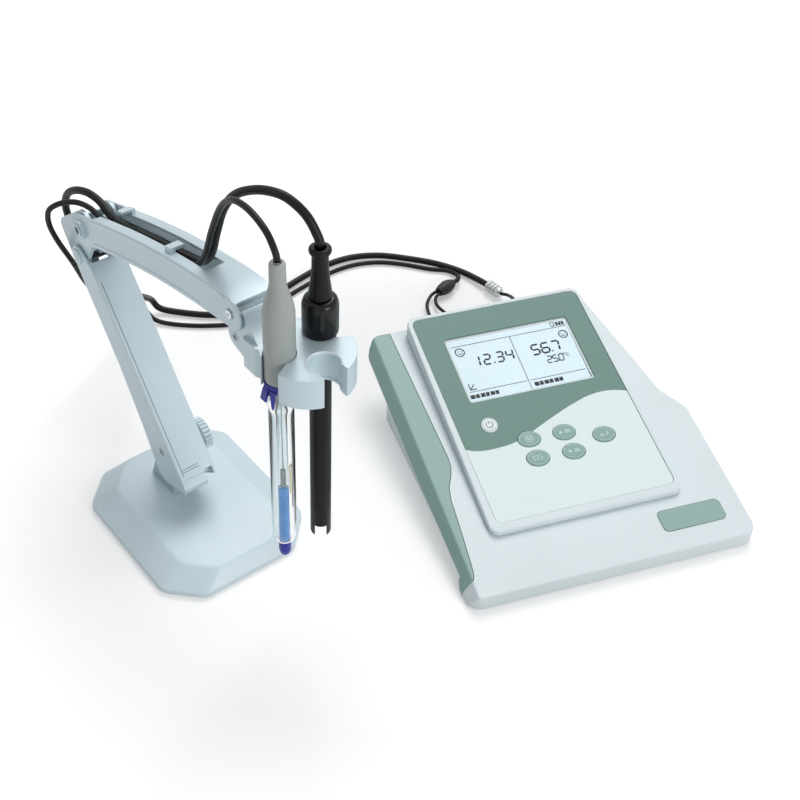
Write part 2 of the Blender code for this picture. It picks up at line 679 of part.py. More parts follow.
base = loft([
    base_ring(1.2, 1.2, 0.0),
    base_ring(0.0, 0.0, 1.0),
    base_ring(0.0, 0.0, BASE_RIM_Z - 0.6),
    base_ring(0.8, 0.6, BASE_RIM_Z),
    base_ring(BASE_BEVEL_SIDE - 3.0, BASE_BEVEL_END - 1.5, BASE_TOP_Z - 0.7),
    base_ring(BASE_BEVEL_SIDE, BASE_BEVEL_END + 0.5, BASE_TOP_Z),
])
stand_node("stand_base", base, STAND_BLUE)

ARM_T = (Vector(ELBOW_LOW) - Vector(PIVOT_LOW)).normalized()     # along the lower arm, upwards
ARM_N = Vector((ARM_T.y, -ARM_T.x))                              # out of its front cover
LINK_LOW = tuple(Vector(PIVOT_LOW) - ARM_N * LINK_BACK)
LINK_TOP = tuple(Vector(ELBOW_LOW) - ARM_N * LINK_BACK)


def arm_point(t, n):
    """A (u, z) point t along the lower arm and n in front of the line of its pivots."""
    return tuple(Vector(PIVOT_LOW) + ARM_T * t + ARM_N * n)


POST_FOOT = (-38.0, -10.5)
POST_SIDE = ((-11.5, 31.0, 6.0), (-6.4, 46.0, 7.0), (-10.0, 60.0, 9.0), (-25.0, 59.0, 9.0),
             (-32.5, 46.0, 7.0), (-31.5, 30.0, 6.0))
POST_SLOT_Z = 35.5
post_outline = rounded([*((u, BASE_TOP_Z + GAP, 0) for u in POST_FOOT), *POST_SIDE], 3)
STILL = (0.0, 0.0)
post = cut(
    prism(post_outline, -INSIDE + GAP, INSIDE - GAP, side_on(STILL)),
    prism(box_outline((ELBOW_LOW[0], -PIVOT_LOW[0]), (POST_SLOT_Z, ELBOW_LOW[1])),
          -LINK_HALF - 0.5, LINK_HALF + 0.5, side_on(STILL)),
)
post = soften(post, 0.5, 1, 60.0)
post = cut(fuse(post, rod(STILL, LINK_LOW, SMALL_PIN_R, -6.0, 6.0, 16)),
           rod(STILL, PIVOT_LOW, PIN_R + GAP, -20.0, 20.0))
stand_node("pivot_post", post, STAND_SHADE)

KNOB_S = (ARM_OUT + 1.2, ARM_OUT + 8.6)
KNOB_R, KNOB_RIBS = 10.4, 22
bolt = rod(PIVOT_LOW, PIVOT_LOW, PIN_R, -ARM_OUT + 0.2, KNOB_S[1] + 0.8)
stand_node("pivot_bolt", bolt, STEEL, PIVOT_LOW)

knob_ribs = []
for k in range(2 * KNOB_RIBS):
    r = KNOB_R if k % 2 else KNOB_R - 1.0
    a = math.pi * k / KNOB_RIBS
    knob_ribs.append((PIVOT_LOW[0] + r * math.cos(a), PIVOT_LOW[1] + r * math.sin(a)))
knob = cut(
    fuse(prism(knob_ribs, KNOB_S[0], KNOB_S[1] - 1.0, side_on(PIVOT_LOW)),
         rod(PIVOT_LOW, PIVOT_LOW, 7.6, KNOB_S[0] + 1.0, KNOB_S[1], 24)),
    rod(PIVOT_LOW, PIVOT_LOW, PIN_R + RUN, 0.0, 40.0))
stand_node("tension_knob", knob, STAND_SHADE, PIVOT_LOW)


# Lower arm: two side plates with a front cover between them, open at the back

ELBOW_R = 7.2
arm_top = [tuple(Vector(ELBOW_LOW) + ELBOW_R * (ARM_T * math.cos(a) + ARM_N * math.sin(a)))
           for a in [math.radians(d) for d in range(75, -106, -18)]]
ARM_FRONT = ((-27.5, 3.5), (-29.5, 8.0), (-27.0, 11.8), (-20.0, 12.6), (112.0, 13.2), (121.0, 12.2),
             (127.0, 9.6))
ARM_BACK = ((112.0, -8.0), (60.0, -8.6), (20.0, -13.0), (-2.0, -17.0), (-14.0, -18.5), (-20.0, -15.0))
ARM_COVER = ((-20.6, 10.4), (-20.6, 12.5), (112.0, 13.2), (121.0, 12.1), (123.6, 11.0), (122.8, 8.9),
             (120.4, 9.9), (112.0, 11.0))
NOTCH_T, NOTCH_S = -19.4, 4.6
FAR_PLATE_T = -24.4
ARM_CHIN = ((-28.6, 6.0), (-29.0, 9.0), (-26.6, 11.6), (-20.0, 12.2), (-20.0, 8.0))
FOOT_ROD = (-20.6, 5.0)
arm_side = [*(arm_point(*p) for p in ARM_FRONT), *arm_top, *(arm_point(*p) for p in ARM_BACK)]
cover = [arm_point(*p) for p in ARM_COVER]
chin = [arm_point(*p) for p in ARM_CHIN]
place_low = side_on(PIVOT_LOW)
side_solids = [soften(prism(arm_side, low, high, place_low), 0.5, 1, 50.0)
               for low, high in ((-ARM_OUT, -ARM_IN), (ARM_IN, ARM_OUT))]
lower_arm = fuse(
    side_solids[0], side_solids[1],
    prism(cover, -ARM_IN - 0.8, ARM_IN + 0.8, place_low),
    prism(chin, -ARM_IN - 0.8, ARM_IN + 0.8, place_low),
)


def foot_tool(t_high, n_low):
    """A tool outline that takes the arm's foot off below t_high and in front of n_low."""
    reach = ARM_OUT + ARM_OUT
    return [arm_point(t, n) for t, n in ((-PIVOT_LOW[1], n_low), (t_high, n_low), (t_high, reach),
                                         (-PIVOT_LOW[1], reach))]


lower_arm = cut(lower_arm, rod(PIVOT_LOW, PIVOT_LOW, PIN_R + RUN, -20.0, 20.0),
                prism(foot_tool(NOTCH_T, 4.0), NOTCH_S, ARM_IN + 0.15, place_low),
                prism(foot_tool(FAR_PLATE_T, -ARM_OUT), ARM_IN - 0.5, ARM_OUT + 2.0, place_low))
lower_arm = fuse(lower_arm, rod(PIVOT_LOW, ELBOW_LOW, 5.0, -ARM_OUT - 0.9, -ARM_IN - 0.4, 20),
                 rod(PIVOT_LOW, ELBOW_LOW, 5.0, ARM_IN + 0.4, ARM_OUT + 0.9, 20))
lower_arm = fuse(lower_arm, rod(PIVOT_LOW, ELBOW_LOW, PIN_R, -ARM_OUT - 1.2, ARM_OUT + 1.2),
                 rod(PIVOT_LOW, arm_point(*FOOT_ROD), 2.2, -ARM_OUT - 0.8, ARM_OUT + 0.8, 16))
stand_node("lower_arm", lower_arm, STAND_BLUE, PIVOT_LOW)


def link_outline(low, high, width, eye, bow=0.0, steps=12):
    """A bar with round eyes about two (u, z) points; bow lifts its middle off the straight line."""
    a, b = Vector(low), Vector(high)
    along = (b - a).normalized()
    up = Vector((-along.y, along.x))
    length = (b - a).length

    def row(sign, backwards):
        points = []
        for k in range(1, steps):
            t = k / steps
            rise = bow * math.sin(math.pi * t)
            points.append(tuple(a + along * (length * t) + up * (rise + sign * width)))
        return points[::-1] if backwards else points

    def cap(centre, start):
        ring = []
        for k in range(9):
            d = start + math.radians(30) + math.radians(300) * k / 8
            ring.append(tuple(centre + eye * (along * math.cos(d) + up * math.sin(d))))
        return ring
    return [*row(-1, False), *cap(b, -math.pi), *row(1, True), *cap(a, 0.0)]


lower_link = cut(
    prism(link_outline(LINK_LOW, LINK_TOP, 2.2, 3.5, steps=2), -LINK_HALF, LINK_HALF, side_on(LINK_LOW)),
    rod(LINK_LOW, LINK_LOW, SMALL_PIN_R + RUN, -9.0, 9.0, 14),
    rod(LINK_LOW, LINK_TOP, SMALL_PIN_R + RUN, -9.0, 9.0, 14),
)
stand_node("lower_link", lower_link, STAND_SHADE, LINK_LOW)


# Elbow: bracket that stays level, and its torsion spring

LINK_REAR = (ELBOW_HIGH[0], ELBOW_HIGH[1] - LINK_DROP)
LINK_FRONT = (HEAD_HIGH[0], HEAD_HIGH[1] - LINK_DROP)


def round_hull(circles, steps=24):
    """The outline of a belt pulled round circles given as (u, z, radius)."""
    points = []
    for u, z, r in circles:
        points += ellipse(u, z, r, r, steps)
    points.sort()

    def half(ordered):
        chain = []
        for p in ordered:
            while len(chain) > 1 and ((chain[-1][0] - chain[-2][0]) * (p[1] - chain[-2][1])
                                      <= (chain[-1][1] - chain[-2][1]) * (p[0] - chain[-2][0]) + 1e-6):
                chain.pop()
            chain.append(p)
        return chain[:-1]
    return half(points) + half(points[::-1])


place_elbow = side_on(ELBOW_LOW)
web = [(ELBOW_HIGH[0] + u, ELBOW_HIGH[1] + z)
       for u, z in ((-11.8, -13.6), (-13.4, -14.0), (-10.2, 1.4), (-8.6, 1.4))]
ELBOW_HEEL = (-114.5, 161.0)
cheek = [(*ELBOW_HIGH, 10.6), (*ELBOW_LOW, ELBOW_R), (*LINK_TOP, 4.2)]
bracket = fuse(
    prism(round_hull([*cheek, (*ELBOW_HEEL, 7.0)]), -INSIDE, -CHEEK, place_elbow),
    prism(round_hull(cheek), CHEEK, INSIDE, place_elbow),
    rod(ELBOW_LOW, ELBOW_HIGH, 3.0, -ARM_OUT - 2.4, ARM_OUT + 2.4),
    rod(ELBOW_LOW, LINK_REAR, 2.0, -CHEEK - 1.0, CHEEK + 1.0, 14),
    rod(ELBOW_LOW, LINK_TOP, SMALL_PIN_R, -CHEEK - 1.0, CHEEK + 1.0, 14),
    prism(web, -CHEEK - 0.6, CHEEK + 0.6, place_elbow),
)
bracket = cut(bracket, rod(ELBOW_LOW, ELBOW_LOW, PIN_R + RUN, -20.0, 20.0))
stand_node("elbow_bracket", bracket, STAND_BLUE, ELBOW_LOW)

curl_points = []
per_turn = 9
curls = round(SPRING_TURNS * per_turn)
for k in range(curls + 1):
    angle = math.tau * k / per_turn
    across = (k / per_turn - SPRING_TURNS / 2) * SPRING_PITCH
    curl_points.append(stand(across, ELBOW_LOW[0] + SPRING_R * math.cos(angle),
                             ELBOW_LOW[1] + SPRING_R * math.sin(angle)))
self_gap = min((a - b).length for i, a in enumerate(curl_points)
               for b in curl_points[i + per_turn - 2:]) / MM
print(f"elbow_spring: least gap between curls {self_gap - 2 * SPRING_WIRE_R:.2f} mm")
tube("elbow_spring", curl_points, SPRING_WIRE_R, SPRING_BLACK, 1)


# Upper arm: an arched channel with a cable slot along its top

ARCH = ((-99.6, 176.5), (-97.0, 181.8), (-91.4, 185.4), (-84.0, 188.0), (-72.7, 191.9), (-55.0, 198.2),
        (-36.2, 204.6), (-18.0, 210.2), (-2.0, 214.8), (14.0, 218.8), (30.0, 222.4), (45.0, 225.6),
        (58.0, 228.0), (70.0, 229.4), (78.5, 228.6))
ARM_DEEP = 20.0
COVER_THICK = 2.2
SLOT_HALF, SLOT_FRONT_U = 5.6, 43.0
ARCH_NOSE = ((82.6, 225.0), (83.8, 220.0), (82.4, 214.8), (78.6, 211.6), (73.0, 210.6))
ARCH_HEEL = ((-79.0, 168.4), (-84.0, 165.2), (-89.5, 164.6), (-95.0, 166.8), (-99.0, 171.6))
BELLY_U = (-80.0, 66.0)
CROSS_ROD = (54.0, 218.0)
belly = [(u, z - ARM_DEEP) for u, z in ARCH if BELLY_U[0] < u < BELLY_U[1]]
arm_upper_side = [*ARCH, *ARCH_NOSE, *reversed(belly), *ARCH_HEEL]
lid = [*ARCH[4:], *[(u, z - COVER_THICK) for u, z in reversed(ARCH[4:])]]
place_high = side_on(ELBOW_HIGH)
upper_sides = [soften(prism(arm_upper_side, low, high, place_high), 0.5, 1, 50.0)
               for low, high in ((-ARM_OUT, -ARM_IN), (ARM_IN, ARM_OUT))]
HOOK_U = (-60.0, 10.0)
HOOK_HALF, HOOK_HIGH, HOOK_SHELF = 3.2, 3.4, 2.2


def arch_at(u):
    """Height and slope of the arm's top edge."""
    for (ua, za), (ub, zb) in zip(ARCH, ARCH[1:]):
        if ua <= u <= ub:
            slope = (zb - za) / (ub - ua)
            return za + (u - ua) * slope, slope


def on_arch(u, shape):
    """An outline of (along, above) points drawn on the arm's top edge at u."""
    z, slope = arch_at(u)
    return [(u + along, z + along * slope + above) for along, above in shape]


hooks = []
for u, side in zip(HOOK_U, (1.0, -1.0)):
    stem = on_arch(u, ((-HOOK_HALF - 0.8, -COVER_THICK + 0.4), (HOOK_HALF + 0.8, -COVER_THICK + 0.4),
                       (HOOK_HALF, HOOK_HIGH), (-HOOK_HALF, HOOK_HIGH)))
    shelf = on_arch(u, ((-HOOK_HALF, HOOK_HIGH - HOOK_SHELF), (HOOK_HALF, HOOK_HIGH - HOOK_SHELF),
                        (HOOK_HALF, HOOK_HIGH), (-HOOK_HALF, HOOK_HIGH)))
    for outline, reach in ((stem, (SLOT_HALF + 0.4, SLOT_HALF + 3.2)), (shelf, (0.4, SLOT_HALF + 1.0))):
        hooks.append(prism(outline, *sorted(side * r for r in reach), place_high))
upper_arm = cut(
    fuse(upper_sides[0], upper_sides[1], prism(lid, -ARM_IN - 0.8, ARM_IN + 0.8, place_high)),
    prism(box_outline((ARCH[0][0] - ARM_DEEP, SLOT_FRONT_U), (ARCH_HEEL[2][1], HEAD_HIGH[1] + 2 * ARM_DEEP)),
          -SLOT_HALF, SLOT_HALF, place_high),
)
upper_arm = fuse(
    upper_arm, *hooks,
    rod(ELBOW_HIGH, ELBOW_HIGH, 6.0, -ARM_OUT - 2.2, -ARM_IN - 0.4, 24),
    rod(ELBOW_HIGH, ELBOW_HIGH, 6.0, ARM_IN + 0.4, ARM_OUT + 2.2, 24),
    rod(ELBOW_HIGH, CROSS_ROD, 1.8, -ARM_OUT + 0.8, ARM_OUT - 0.8, 14),
)
upper_arm = cut(upper_arm, rod(ELBOW_HIGH, ELBOW_HIGH, 3.0 + RUN, -20.0, 20.0),
                rod(ELBOW_HIGH, HEAD_HIGH, PIN_R + RUN, -20.0, 20.0))
stand_node("upper_arm", upper_arm, STAND_BLUE, ELBOW_HIGH)

upper_link = cut(
    prism(link_outline(LINK_REAR, LINK_FRONT, 3.2, 4.6, 7.0), -LINK_HALF - 0.8, LINK_HALF + 0.8,
          side_on(LINK_REAR)),
    rod(LINK_REAR, LINK_REAR, 2.0 + RUN, -9.0, 9.0, 14),
    rod(LINK_REAR, LINK_FRONT, 2.0 + RUN, -9.0, 9.0, 14),
)
stand_node("upper_link", upper_link, STAND_SHADE, LINK_REAR)


# Head: a block with two lugs behind and a holder with three open bays in front

place_head = side_on(HEAD_HIGH)


def head_plan(s, u, z):
    return (s, -(u - HEAD_HIGH[0]), z - HEAD_HIGH[1])


def bay_tools(centre, radius, mouth_way):
    """What a bay takes out of the holder: a round well and the mouth that an electrode clips in through."""
    away = Vector(mouth_way).normalized()
    side = Vector((-away.y, away.x)) * (BAY_MOUTH / 2)
    far = Vector(centre) + away * 40.0
    mouth = [tuple(Vector(centre) + side), tuple(Vector(centre) - side),
             tuple(far - side * 1.25), tuple(far + side * 1.25)]
    well = ellipse(*centre, radius, radius, 24)
    return [prism(well, HEAD_Z[0] - 5.0, HEAD_Z[1] + 5.0, head_plan),
            prism(mouth, HEAD_Z[0] - 5.0, HEAD_Z[1] + 5.0, head_plan)]


block = rounded([(-12.0, 84.5, 1.5), (12.0, 84.5, 1.5), (15.0, 100.0, 0), (6.0, 106.0, 0),
                 (-12.0, 97.5, 4.0)])
BARREL_R, FINGER_R = 6.6, 2.4
lug = round_hull([(*HEAD_HIGH, BARREL_R - 0.2), (*LINK_FRONT, 6.2), (88.0, 208.6, 3.2), (88.0, 197.0, 3.2)])
head = fuse(
    prism(ellipse(*HOLDER_MIDDLE, HOLDER_R, HOLDER_R, 32), HEAD_Z[0], HEAD_Z[1], head_plan),
    prism(block, HEAD_Z[0], HEAD_Z[1], head_plan),
)
head = cut(head, *bay_tools(PH_AXIS, BAY_R, PH_MOUTH), *bay_tools(CELL_AXIS, BAY_R, CELL_MOUTH),
           *bay_tools(FREE_BAY, BAY_R + 0.4, FREE_MOUTH))
head = soften(round_uprights(head, FINGER_R, 3), 0.9, 1, 35.0)
LUG_IN = LINK_HALF + 1.5
SADDLE = ((6.7, 4.5), (9.4, 3.4), (21.4, -8.5), (21.4, -13.0), (11.0, -13.0), (5.0, -5.0))
saddle = [(HEAD_HIGH[0] + u, HEAD_HIGH[1] + z) for u, z in SADDLE]
head = fuse(
    head,
    prism(saddle, -INSIDE + 0.1, INSIDE - 0.1, place_head),
    rod(HEAD_HIGH, HEAD_HIGH, BARREL_R, -INSIDE + 0.1, INSIDE - 0.1, 24),
    prism(lug, -INSIDE + 0.1, -LUG_IN, place_head),
    prism(lug, LUG_IN, INSIDE - 0.1, place_head),
    rod(HEAD_HIGH, HEAD_HIGH, PIN_R, -ARM_OUT - 0.9, ARM_OUT + 0.9),
    rod(HEAD_HIGH, LINK_FRONT, 2.0, -LUG_IN - 1.0, LUG_IN + 1.0, 14),
)
stand_node("electrode_head", head, STAND_BLUE, HEAD_HIGH)


# Electrodes, each turned about its own axis

def electrode_node(name, axis, mesh, finish):
    node(name, mesh, finish, stand(*axis, 0.0), STAND_YAW)


PH_HOLE, CELL_HOLE = PH_LEAD_R + GAP, CELL_LEAD_R + GAP
ring_top = PH_CAP_FOOT_Z - GAP
ring_foot = ring_top - RING_LONG
body_top = ring_foot - GAP
body_foot = PH_TIP_Z + 5.2
stem_foot = PH_TIP_Z + TIP_LONG + GAP

electrode_node("ph_cap", PH_AXIS, ring_turned([
    (PH_HOLE, PH_TOP_Z), (3.4, PH_TOP_Z), (4.1, PH_TOP_Z - 0.8), (4.3, PH_TOP_Z - 13.0),
    (5.2, PH_TOP_Z - 17.0), (PH_CAP_R - 0.8, PH_TOP_Z - 24.5), (PH_CAP_R, PH_TOP_Z - 29.0),
    (PH_CAP_R, PH_CAP_FOOT_Z + 0.6), (PH_CAP_R - 0.3, PH_CAP_FOOT_Z), (PH_HOLE, PH_CAP_FOOT_Z)], 22),
    CAP_GREY)
tab = prism(box_outline((-RING_R - 3.1, -5.0), (-2.6, 2.6)), ring_foot + 0.4, ring_foot + 5.4)
ring = fuse(turned([(RING_R - 0.2, ring_top), (RING_R, ring_top - 0.5), (RING_R, ring_foot + 0.8),
                    (RING_R - 0.3, ring_foot)], 22), tab)
stem_hole = turned([(PH_STEM_R + GAP, ring_top + 9.0), (PH_STEM_R + GAP, ring_foot - 9.0)], 18)
electrode_node("refill_ring", PH_AXIS, cut(ring, stem_hole), ROYAL_BLUE)
electrode_node("ph_body", PH_AXIS, ring_turned([
    (PH_TUBE_R - PH_WALL, body_top), (PH_TUBE_R, body_top), (PH_TUBE_R, body_foot + 6.0),
    (PH_TUBE_R - 0.4, body_foot + 1.6), (PH_TUBE_R - 1.6, body_foot), (PH_TUBE_R - 2.0, body_foot + 0.6),
    (PH_TUBE_R - PH_WALL, body_foot + 3.5)], 22), CLEAR)
electrode_node("ph_stem", PH_AXIS, turned([
    (PH_STEM_R, ring_top - GAP), (PH_STEM_R, stem_foot + 1.4), (PH_STEM_R - 0.5, stem_foot)], 18), STEM_BLUE)
electrode_node("ph_tip", PH_AXIS, turned([
    (PH_STEM_R - 0.5, PH_TIP_Z + TIP_LONG), (TIP_R - 0.2, PH_TIP_Z + 12.2), (TIP_R, PH_TIP_Z + 7.8),
    (TIP_R - 0.8, PH_TIP_Z + 3.2), (TIP_R - 2.0, PH_TIP_Z + 0.8), (TIP_R - 3.4, PH_TIP_Z)], 20), ROYAL_BLUE)

boot_foot = COLLAR_TOP_Z + GAP
electrode_node("cell_boot", CELL_AXIS, ring_turned([
    (CELL_HOLE, CELL_TOP_Z), (4.4, CELL_TOP_Z), (5.7, CELL_TOP_Z - 1.0), (5.7, CELL_TOP_Z - 2.6),
    (4.2, CELL_TOP_Z - 4.4), (4.3, CELL_TOP_Z - 12.0), (5.0, CELL_TOP_Z - 20.0), (6.3, boot_foot),
    (CELL_HOLE, boot_foot)], 20), LEAD_BLACK)
collar_foot = HEAD_Z[1] + GAP
shank_foot = HEAD_Z[0] + 6.5
tube_top = COLLAR_TOP_Z - 12.2
electrode_node("cell_collar", CELL_AXIS, ring_turned([
    (CELL_HOLE, COLLAR_TOP_Z), (CELL_COLLAR_R - 2.9, COLLAR_TOP_Z),
    (CELL_COLLAR_R - 0.9, COLLAR_TOP_Z - 1.3), (CELL_COLLAR_R, COLLAR_TOP_Z - 3.7),
    (CELL_COLLAR_R, collar_foot + 1.6), (CELL_COLLAR_R - 0.3, collar_foot),
    (BAY_R - BAY_FIT, collar_foot), (BAY_R - BAY_FIT, shank_foot), (CELL_TUBE_R + GAP, shank_foot),
    (CELL_TUBE_R + GAP, tube_top + GAP), (CELL_HOLE, tube_top + GAP)], 22), PROBE_BLACK)
probe = turned([(CELL_TUBE_R, tube_top), (CELL_TUBE_R, CELL_TIP_Z + 1.6),
                (CELL_TUBE_R - 1.0, CELL_TIP_Z)], 20)
fork = prism(box_outline((-FORK_WIDE / 2, FORK_WIDE / 2), (-9.0, 9.0)),
             CELL_TIP_Z - 20.0, CELL_TIP_Z + FORK_DEEP)
fork = moved(fork, turn=Matrix.Rotation(math.radians(FORK_TURN), 4, "Z"))
electrode_node("cell_tube", CELL_AXIS, cut(probe, fork), PROBE_BLACK)


# Leads. Each one is drawn in stretches, so that a stretch follows the arm it lies on.

def stand_route(points):
    return [stand(*p) for p in points]


def bench_route(points):
    return [bench(*p) for p in points]


PH_FRONT = [(*PH_AXIS, PH_TOP_Z + 0.4), (-3.5, 104.4, 272.6), (-3.2, 98.0, 279.2), (-2.8, 88.6, 282.6),
            (-2.5, 77.7, 283.4), (-2.4, 66.4, 280.4), (-2.3, 56.0, 270.6), (-2.3, 46.0, 251.0),
            (-2.3, 37.0, 229.0), (-2.3, 27.0, 217.4), (-2.3, 10.0, 211.4), (-2.3, -20.0, 203.2),
            (-2.3, -50.0, 193.6), (-2.6, -70.0, 187.4)]
CELL_FRONT = [(*CELL_AXIS, CELL_TOP_Z + 0.4), (22.7, 102.4, 268.6), (20.6, 96.0, 278.4), (17.0, 87.5, 284.4),
              (13.7, 79.6, 285.6), (9.5, 68.8, 282.8), (5.6, 57.0, 275.0), (3.2, 49.1, 263.0),
              (2.6, 42.0, 245.0), (2.6, 35.6, 228.0), (2.6, 26.0, 216.8), (2.6, 10.0, 210.8),
              (2.6, -20.0, 202.6), (2.6, -50.0, 193.2), (2.6, -70.0, 187.4)]
PH_LOOP = [PH_FRONT[-1], (-3.2, -79.0, 186.6), (-4.6, -88.0, 188.6), (-8.8, -96.0, 189.8),
           (-15.0, -103.0, 188.0), (-20.0, -109.5, 182.4), (-21.0, -113.0, 175.0), (-19.6, -115.0, 165.0),
           (-15.0, -117.0, 151.0), (-7.0, -118.5, 131.0)]
CELL_LOOP = [CELL_FRONT[-1], (2.6, -79.0, 187.4), (2.2, -89.0, 190.4), (0.2, -99.0, 191.4),
             (-2.2, -109.0, 188.6), (-3.8, -117.5, 182.4), (-4.2, -122.8, 173.0), (-3.0, -124.6, 162.0),
             (-0.8, -123.6, 148.0), (2.0, -120.0, 131.0)]
PH_DROP = [PH_LOOP[-1], (2.0, -124.5, 108.0), (14.0, -134.5, 86.0), (28.0, -148.0, 66.0)]
CELL_DROP = [CELL_LOOP[-1], (11.0, -126.5, 108.0), (23.0, -136.0, 87.0), (37.0, -149.0, 67.0)]
PH_TABLE = stand_route([PH_DROP[-1], (44.0, -164.0, 46.0), (60.0, -178.0, 27.0), (72.0, -186.0, 12.0)])
PH_TABLE += bench_route([
    (-128.0, 319.0, 3.4), (-114.0, 311.0, 1.9), (-92.0, 303.0, 1.9), (-70.0, 300.0, 1.9), (-46.0, 309.0, 1.9),
    (-14.0, 326.0, 1.9), (10.0, 337.0, 1.9), (32.0, 342.0, 1.9), (52.0, 340.0, 1.9), (70.0, 332.0, 1.9),
    (88.0, 320.5, 1.9), (100.0, 314.5, 2.2), (105.0, 306.0, 3.2), (103.0, 299.0, 4.6), (98.0, 295.5, 5.4)])
CELL_TABLE = stand_route([CELL_DROP[-1], (53.0, -165.0, 47.0), (69.0, -180.0, 28.0), (81.0, -190.0, 13.0)])
CELL_TABLE += bench_route([
    (-122.0, 330.0, 4.4), (-108.0, 323.0, 2.6), (-88.0, 314.0, 2.6), (-67.0, 310.5, 2.6), (-44.0, 318.5, 2.6),
    (-13.0, 336.0, 2.6), (10.0, 346.5, 2.6), (33.0, 351.0, 2.6), (55.0, 347.5, 2.6), (76.0, 337.0, 2.6),
    (95.0, 324.5, 2.6), (109.0, 310.5, 2.8), (117.0, 297.0, 3.8), (121.6, 286.4, 5.0)])

STRETCHES = ("front", "loop", "drop", "table")
END_STUB = 0.8             # a stretch ends square to its lead over this length

ph_routes = (stand_route(PH_FRONT), stand_route(PH_LOOP), stand_route(PH_DROP), PH_TABLE)
cell_routes = (stand_route(CELL_FRONT), stand_route(CELL_LOOP), stand_route(CELL_DROP), CELL_TABLE)
for stem, radius, routes in (("ph_lead", PH_LEAD_R, ph_routes), ("cell_lead", CELL_LEAD_R, cell_routes)):
    whole = list(routes[0])
    for route in routes[1:]:
        whole += route[1:]
    fine = smooth_curve(whole)
    first = 0
    for part, route in zip(STRETCHES, routes):
        last = first + (len(route) - 1) * FINE
        path = even_path(fine[first:last + 1], radius * 6.0)
        ahead = (fine[first + 1] - fine[max(first - 1, 0)]).normalized() * MM
        astern = (fine[min(last + 1, len(fine) - 1)] - fine[last - 1]).normalized() * MM
        path[:1] = [path[0] + ahead * (GAP / 2), path[0] + ahead * END_STUB]
        path[-1:] = [path[-1] - astern * END_STUB, path[-1] - astern * (GAP / 2)]
        tube(f"{stem}_{part}", path, radius, LEAD_BLACK)
        first = last


def along(mesh, start, end):
    """A piece turned about z, laid from start (its top) to end, in metres."""
    turn = (start - end).to_track_quat("Z", "Y").to_matrix().to_4x4()
    mesh.transform(turn)
    return mesh


split_start, split_end = bench(97.4, 295.1, 5.5), bench(83.2, 287.6, 5.5)
split_long = (split_start - split_end).length / MM
splitter = ring_turned([(PH_HOLE, 0.0), (3.0, 0.0), (4.6, -split_long * 0.25), (5.2, -split_long * 0.5),
                        (4.6, -split_long * 0.76), (3.4, -split_long), (1.2, -split_long), (1.2, -2.0),
                        (PH_HOLE, -2.0)], 16)
node("lead_splitter", along(splitter, split_start, split_end), RUBBER_DARK, split_start)

joint_start, joint_end = bench(122.0, 285.4, 5.2), bench(127.6, 273.0, 5.2)
joint_long = (joint_start - joint_end).length / MM
ferrule = [(CELL_HOLE, 0.0), (3.8, 0.0)]
for k in range(4):
    ferrule += [(4.6, -1.4 - 3.0 * k), (4.6, -2.6 - 3.0 * k), (3.8, -3.0 - 3.0 * k)]
ferrule += [(3.8, -joint_long + 1.0), (2.6, -joint_long), (THIN_LEAD_R - 0.3, -joint_long),
            (THIN_LEAD_R - 0.3, -2.0), (CELL_HOLE, -2.0)]
node("lead_ferrule", along(ring_turned(ferrule, 10), joint_start, joint_end), BRIGHT_METAL, joint_start)

thin_leads = (
    ("lead_bnc", bench_route([(82.0, 288.9, 5.5), (76.4, 286.0, 4.6), (70.0, 277.0, 4.0), (66.8, 260.0, 6.0),
                              (BNC_X, 240.0, 11.0), (BNC_X, 216.0, 16.6), (BNC_X, 190.0, SOCKET_Z)])),
    ("lead_temp", bench_route([(83.6, 285.9, 5.5), (79.0, 282.6, 4.6), (77.4, 274.5, 3.6), (80.4, 260.0, 5.5),
                               (83.6, 240.0, 11.0), (TEMP_X, 214.0, 16.6), (TEMP_X, 186.0, SOCKET_Z)])),
    ("lead_cell", bench_route([(127.9, 272.3, 5.2), (130.6, 266.0, 8.0), (130.0, 254.0, 13.0),
                               (125.4, 236.0, 16.6), (122.3, 216.0, SOCKET_Z), (DIN_X, 190.0, SOCKET_Z)])),
)
for name, route in thin_leads:
    tube(name, even_path(smooth_curve(route), 7.2), THIN_LEAD_R, LEAD_BLACK)


# Rig: what each pivot carries, so that turning its empty moves the arms as on the real stand.

CARRIED = (
    ("lower_arm_pivot", PIVOT_LOW, None,
     ("lower_arm", "elbow_spring", "ph_lead_drop", "cell_lead_drop")),
    ("elbow_pivot", ELBOW_LOW, "lower_arm_pivot", ("elbow_bracket", "ph_lead_loop", "cell_lead_loop")),
    ("upper_arm_pivot", ELBOW_HIGH, "elbow_pivot", ("upper_arm", "ph_lead_front", "cell_lead_front")),
    ("upper_link_pivot", LINK_REAR, "elbow_pivot", ("upper_link",)),
    ("head_pivot", HEAD_HIGH, "upper_arm_pivot",
     ("electrode_head", "ph_cap", "refill_ring", "ph_body", "ph_stem", "ph_tip",
      "cell_boot", "cell_collar", "cell_tube")),
)


def hang(obj, parent):
    """Parents an object and leaves it where it is."""
    bpy.context.view_layer.update()
    obj.parent = parent
    obj.matrix_parent_inverse = parent.matrix_world.inverted()


for name, pivot, above, carried in CARRIED:
    empty = bpy.data.objects.new(name, None)
    empty.empty_display_size = 0.01
    empty.location = stand(0, *pivot)
    empty.rotation_euler = (0, 0, STAND_YAW)
    parts.objects.link(empty)
    if above:
        hang(empty, parts.objects[above])
    for child in carried:
        hang(parts.objects[child], empty)
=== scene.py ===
# %% [markdown]
# # A bench pH meter with its electrode stand
#
# The set has three groups: a low sloping meter, a stand whose two arms keep the electrodes upright,
# and two electrodes with their leads. Their solids come in as a fixed frame that carries every size
# and every joint. This file gives each solid its looks: rounded edges, grain, print, glass and leads.

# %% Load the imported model
import json
import math

